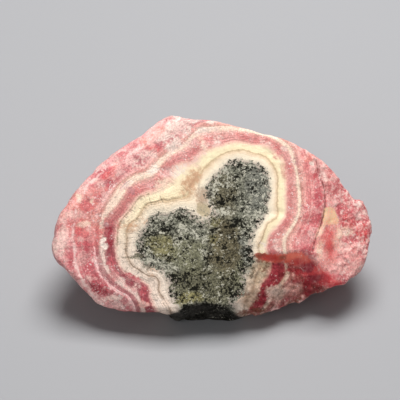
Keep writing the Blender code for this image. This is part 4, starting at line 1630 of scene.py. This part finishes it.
    def crushed(self, colour: Socket) -> Socket:
        """Mottle the pink zones with clouds, crushed and clear grains, streaks and crumbs.

        Args:
            colour: the colour so far.

        Returns:
            The colour.
        """
        canvas, bands, band = self.canvas, self.finish.bands, self.band
        white = canvas.times(canvas.spread(band, *WHITE_START), canvas.spread(band, *WHITE_END))
        pink = canvas.times(canvas.spread(band, *PINK_START), canvas.fade(white, 1.0, 0.2),
                            canvas.fade(self.smooth, 1.0, 0.1), canvas.fade(self.recess, 1.0, 0.5))
        rim = canvas.spread(band, *RIM_START, 0.4, 1.0)
        rough = canvas.number("rough")
        broken = canvas.times(canvas.spread(rough, 0.25, 0.60), canvas.fade(self.recess, 1.0, 0.4))
        whole = canvas.minus(1.0, broken)
        outer = canvas.spread(band, *OUTER_START)
        streaked = canvas.times(outer, self.warm)
        clouds = canvas.group("blotches", Vector=self.place, Size=bands.cloud_size)
        grains = canvas.group("grains", Vector=self.place, Size=bands.grain_size)
        crumbs = canvas.group("crumbs", Vector=self.place, Size=bands.crumb_size,
                              Cluster=bands.cluster_size)
        lines = self.fibres["Lines"]
        height = canvas.number("height")
        for over, *shares in (
            (bands.pale, pink, rim, clouds["Pale"], 0.55),
            (bands.deep, pink, rim, clouds["Deep"], 0.60),
            (bands.pale, outer, whole, clouds["Veins"], 0.30),
            (bands.pale, pink, broken, grains["Pale"], 0.80),
            (bands.deep, pink, broken, grains["Deep"], 0.85),
            (bands.pale, streaked, whole, canvas.spread(lines, 0.5, 0.9), 0.25),
            (bands.deep, streaked, whole, canvas.spread(lines, 0.5, 0.1), 0.25),
            (bands.glint, pink, crumbs["Mask"], 0.8),
            (bands.pale, pink, rough, canvas.spread(height, 0.10, 0.60), 0.35),
            (bands.deep, pink, rough, canvas.spread(height, -0.10, -0.60), 0.30),
        ):
            colour = canvas.tint(colour, over, *shares)
        return colour

    def fibrous(self, colour: Socket) -> Socket:
        """Vary the shade by fibres and beads across the bands, lines along them, and sugar.

        Args:
            colour: the colour so far.

        Returns:
            The colour.
        """
        canvas, band = self.canvas, self.band
        cream = canvas.spread(band, *CREAM_END, 0.35, 1.0)
        toothed = canvas.spread(self.toothed, 0.1, 0.9, 0.12, 1.0)
        plain = canvas.fade(canvas.plus(self.recess, self.smooth), 1.0, 0.15)
        gap = canvas.times(self.fibres["Gaps"], canvas.spread(band, 1.2, 2.2, -0.08, -0.26))
        beads = canvas.cell_edges(canvas.bend(self.place, 1300.0, 0.4 * MM), 1000.0)
        across = canvas.plus(canvas.fade(self.fibres["Streaks"], -0.07, 0.05), gap,
                             canvas.spread(beads, 0.12, 0.0, 0.0, -0.18))
        line = canvas.times(canvas.fade(self.fibres["Lines"], -0.06, 0.05),
                            canvas.spread(toothed, 0.1, 0.6, 0.45, 1.0))
        sugar = canvas.times(self.speckled(2100.0, 3.0, 0.7, 0.12, -0.42, 0.52),
                             canvas.spread(band, 2.8, 3.2, 0.06, 0.38), canvas.fade(self.smooth, 1.0, 0.2))
        crumbled = canvas.times(self.speckled(800.0, 4.0, 0.7, 0.12, -0.30, 0.16), self.recess)
        level = canvas.plus(canvas.times(across, toothed, cream, plain), canvas.times(line, plain),
                            sugar, crumbled, 1.0)
        return canvas.shade(colour, level)

    def lined(self, colour: Socket) -> Socket:
        """Draw the second growth line, the thin outer line and the crack.

        Args:
            colour: the colour so far.

        Returns:
            The colour.
        """
        canvas, bands = self.canvas, self.finish.bands
        wobble = self.speckled(900.0, 3.0, 0.6, 0.2, -0.12, 0.12)
        second = canvas.plus(canvas.number("second_gap"), wobble)
        colour = canvas.tint(colour, bands.second_line, canvas.spread(second, *LINE_EDGE), 0.7)
        thin = canvas.spread(canvas.gap(self.band, Boundary.OUTER_LINE + 0.03), 0.06, 0.01)
        broken = canvas.spread(canvas.noise(self.place, 420.0, 3.0, 0.6), 0.42, 0.54)
        colour = canvas.tint(colour, bands.fine_line, canvas.number("left"), broken, thin, 0.7)
        crack = canvas.plus(canvas.number("crack_gap"), wobble)
        return canvas.tint(colour, bands.crack, canvas.spread(crack, *LINE_EDGE), 0.75)

    def granular(self) -> Socket:
        """Colour the matrix: tinted grains, pale specks, dark gaps and pits.

        Returns:
            The colour of the matrix.
        """
        canvas, finish = self.canvas, self.finish.matrix
        tint = canvas.attribute("tint").outputs
        calm = canvas.spread(tint["Alpha"], 0.1, 0.9)
        fine = canvas.noises(self.place, finish.grain_size, 4.0, 0.75)
        broad = canvas.noises(self.place, finish.clump_size, 3.0, 0.60)
        level = canvas.plus(canvas.spread(fine[2], *NOISE_SPAN, 0.66, 1.34),
                            canvas.spread(broad[2], *NOISE_SPAN, -0.18, 0.18),
                            self.speckled(2600.0, 2.0, 0.5, 0.12, -0.36, 0.36))
        colour = canvas.shade(tint["Color"], level)
        shift = canvas.times(canvas.number("bias"), finish.bias_reach)
        rim = canvas.spread(self.band, 0.55, 0.95, 0.0, 0.012)
        quiet = canvas.plus(canvas.times(calm, -0.022), rim)
        pale = canvas.plus(canvas.times(fine[1], 0.66), canvas.times(broad[1], 0.34), quiet, shift)
        dark = canvas.plus(canvas.times(fine[0], 0.60), canvas.times(broad[0], 0.40), quiet)
        speck_share = canvas.spread(pale, *finish.speck_level)
        colour = canvas.tint(colour, finish.speck, speck_share, finish.speck_cover)
        pit_share = canvas.spread(canvas.minus(dark, shift), *finish.pit_level)
        colour = canvas.tint(colour, finish.pit, pit_share, finish.pit_cover)
        return canvas.tint(colour, finish.pit, canvas.number("pits"), 0.85)

    def fine_relief(self) -> Socket:
        """Raise the finest grains and sink the growth line by a bump.

        Returns:
            The bumped normal.
        """
        canvas, band = self.canvas, self.band
        cells = canvas.cells(self.place, 1900.0).outputs["Distance"]
        height = canvas.plus(canvas.times(cells, canvas.fade(self.in_matrix, 0.25, 0.7)),
                             canvas.noise(self.place, 2200.0, 4.0, 0.65),
                             canvas.times(self.fibres["Lines"], 0.6))
        near_line = canvas.spread(canvas.gap(band, float(Boundary.GROWTH_LINE)), 0.10, 0.0)
        gaps = canvas.times(self.fibres["Gaps"], canvas.spread(band, *CREAM_END), 0.8)
        calm = canvas.times(canvas.spread(self.toothed, 0.6, 0.1), canvas.spread(band, 1.1, 1.3),
                            canvas.spread(band, 3.1, 2.8))
        return canvas.place("ShaderNodeBump", {
            "Strength": canvas.fade(calm, 0.65, 0.22), "Distance": self.finish.bump_depth,
            "Height": canvas.minus(height, canvas.plus(near_line, gaps)),
        }).outputs["Normal"]


@dataclass
class Specimen:
    """The stone: its fine net, its carved relief and its finish.

    Attributes:
        face: where the banded face is.
        growth: how the bands lie in the stone.
        net: the fine net.
        carving: the relief.
        finish: the material.
        patch_depth: depth below the face down to which the patches are seen.
        line_fade: distance that is added to the thin lines' gaps below that, so that they end.
        tint_cover: how far the matrix's coloured zones cover its plain colour.
        deep_bias: bias of the matrix grains below the patches.
        under_shade_bias: their bias on the underside, darkened as painted shade.
        under_shade_cover: how far the painted shade of the underside covers the bands.
    """

    face: FaceFrame = field(default_factory=FaceFrame)
    growth: Growth = field(default_factory=Growth)
    net: StoneNet = field(default_factory=StoneNet)
    carving: Carving = field(default_factory=Carving)
    finish: StoneFinish = field(default_factory=StoneFinish)
    patch_depth: float = 20.0
    line_fade: float = 4.0
    tint_cover: float = 0.85
    deep_bias: float = -0.5
    under_shade_bias: float = -0.25
    under_shade_cover: float = 0.92

    def build(self, node: bpy.types.Object, box: Array) -> bpy.types.Object:
        """Build the stone's piece over its solid.

        Args:
            node: the solid that it stands for.
            box: lowest and highest corner of the solid.

        Returns:
            The finished piece.
        """
        stone = self.net.wrap(node)
        points = read_points(stone.data)
        depth = self.face.places(points, self.face.lean)[:, 2]
        places = self.face.places(points, self.face.sight)
        seen = self.growth.on_face(places)
        band, along = self.growth.bands(self.growth.wander(places, seen))
        shallow = smooth_step(self.patch_depth + 3.0, self.patch_depth, depth)
        smooth = np.zeros(len(seen))
        clean = np.zeros(len(seen))
        for facet in FACETS:
            clean = np.maximum(clean, facet.cover(seen) * shallow)
            smooth = np.maximum(smooth, facet.cover(seen) * facet.strength * shallow)
        rough = self.carving.rough(depth, band, seen) * (1.0 - 0.9 * smooth)
        height = self.carving.hackles(places)
        pits = self.carving.pits(places, band)
        fade = self.line_fade * (1.0 - shallow)
        crack_gap = gap_to(CRACK, seen) + fade
        matrix = smooth_step(1.06, 0.94, band)
        relief = self.carving.relief(places, rough, height, matrix, pits, crack_gap)
        self.carving.carve(stone, relief, box)
        mesh = stone.data
        for name, values in (
            ("band", band), ("along", along), ("rough", rough), ("height", height), ("pits", pits),
            ("crack_gap", crack_gap), ("second_gap", gap_to(SECOND_LINE, seen) + fade),
            ("warm", self.warmth(seen, band)), ("smooth", smooth), ("toothed", self.toothed(seen)),
            ("left", smooth_step(-26.0, -33.0, seen[:, 0]) * shallow),
            ("recess", self.recess(seen) * shallow * (1.0 - clean)),
        ):
            store_number(mesh, name, values)
        self.paint(mesh, places, seen, shallow, clean)
        self.dress(stone)
        return stone

    def recess(self, seen: Array) -> Array:
        """Say how far each place lies in the recess below the ledge, 0 to 1."""
        return smooth_step(0.7, -0.9, Loop(RECESS_EDGE).measure(seen)[0])

    def warmth(self, seen: Array, band: Array) -> Array:
        """Say how warm and light the bands are.

        Args:
            seen: places on the face, one row of two each.
            band: band position of each.

        Returns:
            The warmth, 0 at the lower left and 1 at the top, in the outer zone only at the right.
        """
        outer = smooth_step(*RIM_START, band)
        upper = smooth_step(-22.0, 2.0, seen @ np.array((0.30, 0.95)))
        return upper * (1.0 - outer * smooth_step(15.0, -20.0, seen[:, 0]))

    def toothed(self, seen: Array) -> Array:
        """Say how toothed the cream bands are, 1 at the lower left and 0 at the upper right."""
        return smooth_step(18.0, -16.0, seen @ np.array((0.50, 0.86)))

    def paint(self, mesh: bpy.types.Mesh, places: Array, seen: Array,
              shallow: Array, clean: Array) -> None:
        """Lay the coloured patches on the bands and on the matrix, and the painted shade of the underside
        over both.

        Args:
            mesh: the stone's mesh.
            places: places in the stone, one row of three each.
            seen: places on the face, one row of two each.
            shallow: how near the face each place lies, 0 to 1.
            clean: how far each place lies on one of the facets, 0 to 1.
        """
        uneven = seen + sway_at(places, 2.2, 0.5, 83.0, 7.0) + sway_at(places, 0.9, 0.25, 97.0, 7.0)
        stain_and_shade = PaintLayer(len(seen), Tone.ROSE)
        for patch in BAND_PATCHES:
            stain_and_shade.lay(patch.tone, patch.cover(uneven) * shallow)
        for facet in FACETS:
            stain_and_shade.lay(facet.tone, facet.cover(seen) * facet.strength * shallow)
        for patch in LEDGE_SHADES:
            stain_and_shade.lay(patch.tone, np.clip(patch.cover(uneven) * clean, 0.0, 1.0))
        # Painted shade: the underside is laid in near black over the bands, the matrix tint and the grains
        dark = smooth_step(0.7, -0.7, Loop(SHADED_UNDERSIDE).measure(uneven)[0])
        stain_and_shade.lay(Tone.COAL, self.under_shade_cover * dark)
        store_colour(mesh, "stain_and_shade", stain_and_shade.values)
        uneven += sway_at(places, 3.6, 1.6, 111.0, 7.0) + sway_at(places, 1.4, 0.8, 127.0, 7.0)
        tint = PaintLayer(len(seen), Tone.STEEL, solid=True)
        for patch in MATRIX_PATCHES:
            tint.lay(patch.tone, self.tint_cover * patch.cover(uneven) * shallow)
        tint.lay(Tone.COAL, dark)
        bias = self.deep_bias * (1.0 - shallow)
        for patch in DARK_CLUMPS + PALE_CLUMPS:
            bias += GRAIN_BIAS[patch.tone] * patch.cover(uneven) * shallow
        bias = np.where(dark > 0.5, self.under_shade_bias, bias)
        store_colour(mesh, "tint", tint.values)
        store_number(mesh, "bias", bias)

    def dress(self, stone: bpy.types.Object) -> None:
        """Shade the stone smooth, give it its material and tie it to the frame.

        Args:
            stone: the stone's piece.
        """
        bpy.ops.object.shade_smooth()
        stone.data.materials.clear()
        stone.data.materials.append(self.finish.material())
        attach(stone, "root")
        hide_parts(NODE)


@dataclass(frozen=True)
class SoftLight:
    """A broad studio light.

    Attributes:
        name: its name.
        place: where it hangs, in metres.
        width: its size in metres.
        power: its power in watts.
    """

    name: str
    place: tuple[float, float, float]
    width: float
    power: float

    def hang(self, aim: Vector) -> None:
        """Hang the light and turn it to a point.

        Args:
            aim: the point that it lights.
        """
        lamp = bpy.data.lights.new(self.name, "AREA")
        lamp.energy = self.power
        lamp.shape = "SQUARE"
        lamp.size = self.width
        light = bpy.data.objects.new(self.name, lamp)
        bpy.context.scene.collection.objects.link(light)
        light.location = self.place
        light.rotation_euler = (aim - Vector(self.place)).to_track_quat("-Z", "Y").to_euler()


@dataclass(frozen=True)
class Studio:
    """The plain studio round the stone.

    Attributes:
        elevation: how far the camera looks down.
        distance: from the camera to the face's middle, metres.
        view_width: what the picture is wide at that distance, metres.
        offset: what the picture's middle lies right of and above the face's middle, metres.
        floor: colour of the floor.
        floor_width: its size, metres.
        floor_roughness: how matt it is.
        air: colour of the light from all round.
        air_power: strength of the light from all round.
        lights: the studio lights.
    """

    elevation: float = math.radians(45.0)
    distance: float = 0.52
    view_width: float = 0.11284
    offset: Point = (-0.00324, 0.0052)
    floor: Colour = (160, 160, 162)
    floor_width: float = 4.0
    floor_roughness: float = 0.8
    air: Colour = (240, 240, 244)
    air_power: float = 0.14
    lights: tuple[SoftLight, ...] = (
        SoftLight("overhead", (0.04, 0.20, 0.60), 0.36, 5.6),
        SoftLight("front_fill", (-0.45, -0.55, 0.50), 0.60, 1.0),
        SoftLight("low_fill", (0.15, -0.62, 0.10), 0.30, 0.68),
    )

    def set_up(self, face: FaceFrame) -> None:
        """Lay the floor, hang the lights and place the camera.

        Args:
            face: where the banded face is.
        """
        middle = Vector(face.middle) * MM
        bpy.ops.object.select_all(action="DESELECT")
        bpy.ops.mesh.primitive_plane_add(size=self.floor_width)
        floor = bpy.context.object
        floor.name = "floor"
        material = bpy.data.materials.new("pale_floor")
        material.use_nodes = True
        shader = material.node_tree.nodes["Principled BSDF"]
        shader.inputs["Base Color"].default_value = screen_colour(self.floor)
        shader.inputs["Roughness"].default_value = self.floor_roughness
        floor.data.materials.append(material)
        floor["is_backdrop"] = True
        for light in self.lights:
            light.hang(middle)
        self.fill_air()
        self.place_camera(middle)
        bpy.context.scene.view_settings.view_transform = "Standard"

    def fill_air(self) -> None:
        """Light the scene evenly from all round."""
        world = bpy.data.worlds.new("studio_air")
        world.use_nodes = True
        background = world.node_tree.nodes["Background"]
        background.inputs["Color"].default_value = screen_colour(self.air)
        background.inputs["Strength"].default_value = self.air_power
        bpy.context.scene.world = world

    def place_camera(self, middle: Vector) -> None:
        """Place the camera in front of and above the stone.

        Args:
            middle: the face's middle.
        """
        across = Vector((1.0, 0.0, 0.0))
        upward = Vector((0.0, math.sin(self.elevation), math.cos(self.elevation)))
        backward = Vector((0.0, -math.cos(self.elevation), math.sin(self.elevation)))
        lens = bpy.data.cameras.new("camera")
        lens.sensor_width = 36.0
        lens.lens = lens.sensor_width * self.distance / self.view_width
        lens.clip_start = 0.01
        camera = bpy.data.objects.new("camera", lens)
        bpy.context.scene.collection.objects.link(camera)
        aim = middle + across * self.offset[0] + upward * self.offset[1]
        camera.location = aim + backward * self.distance
        camera.rotation_euler = (math.pi / 2.0 - self.elevation, 0.0, 0.0)
        bpy.context.scene.camera = camera


def plain_box(bounds: object) -> list[list[float]]:
    """Turn a box's two corners into plain lists of numbers."""
    return [[float(value) for value in corner] for corner in bounds]


def main() -> None:
    """Build the stone and its studio over the frame, and note the sizes."""
    logging.basicConfig(level=logging.INFO, format="%(name)s: %(message)s")
    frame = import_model()
    solid_box = plain_box(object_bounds())
    for effect in (BlotchEffect, GrainEffect, FibreEffect, CrumbEffect, SparkleEffect):
        effect().build()
    specimen = Specimen()
    stone = specimen.build(frame["nodes"][NODE], np.array(solid_box))
    LOG.info("%s has %d points", stone.name, len(stone.data.vertices))
    Studio().set_up(specimen.face)


if __name__ == "__main__":
    main()
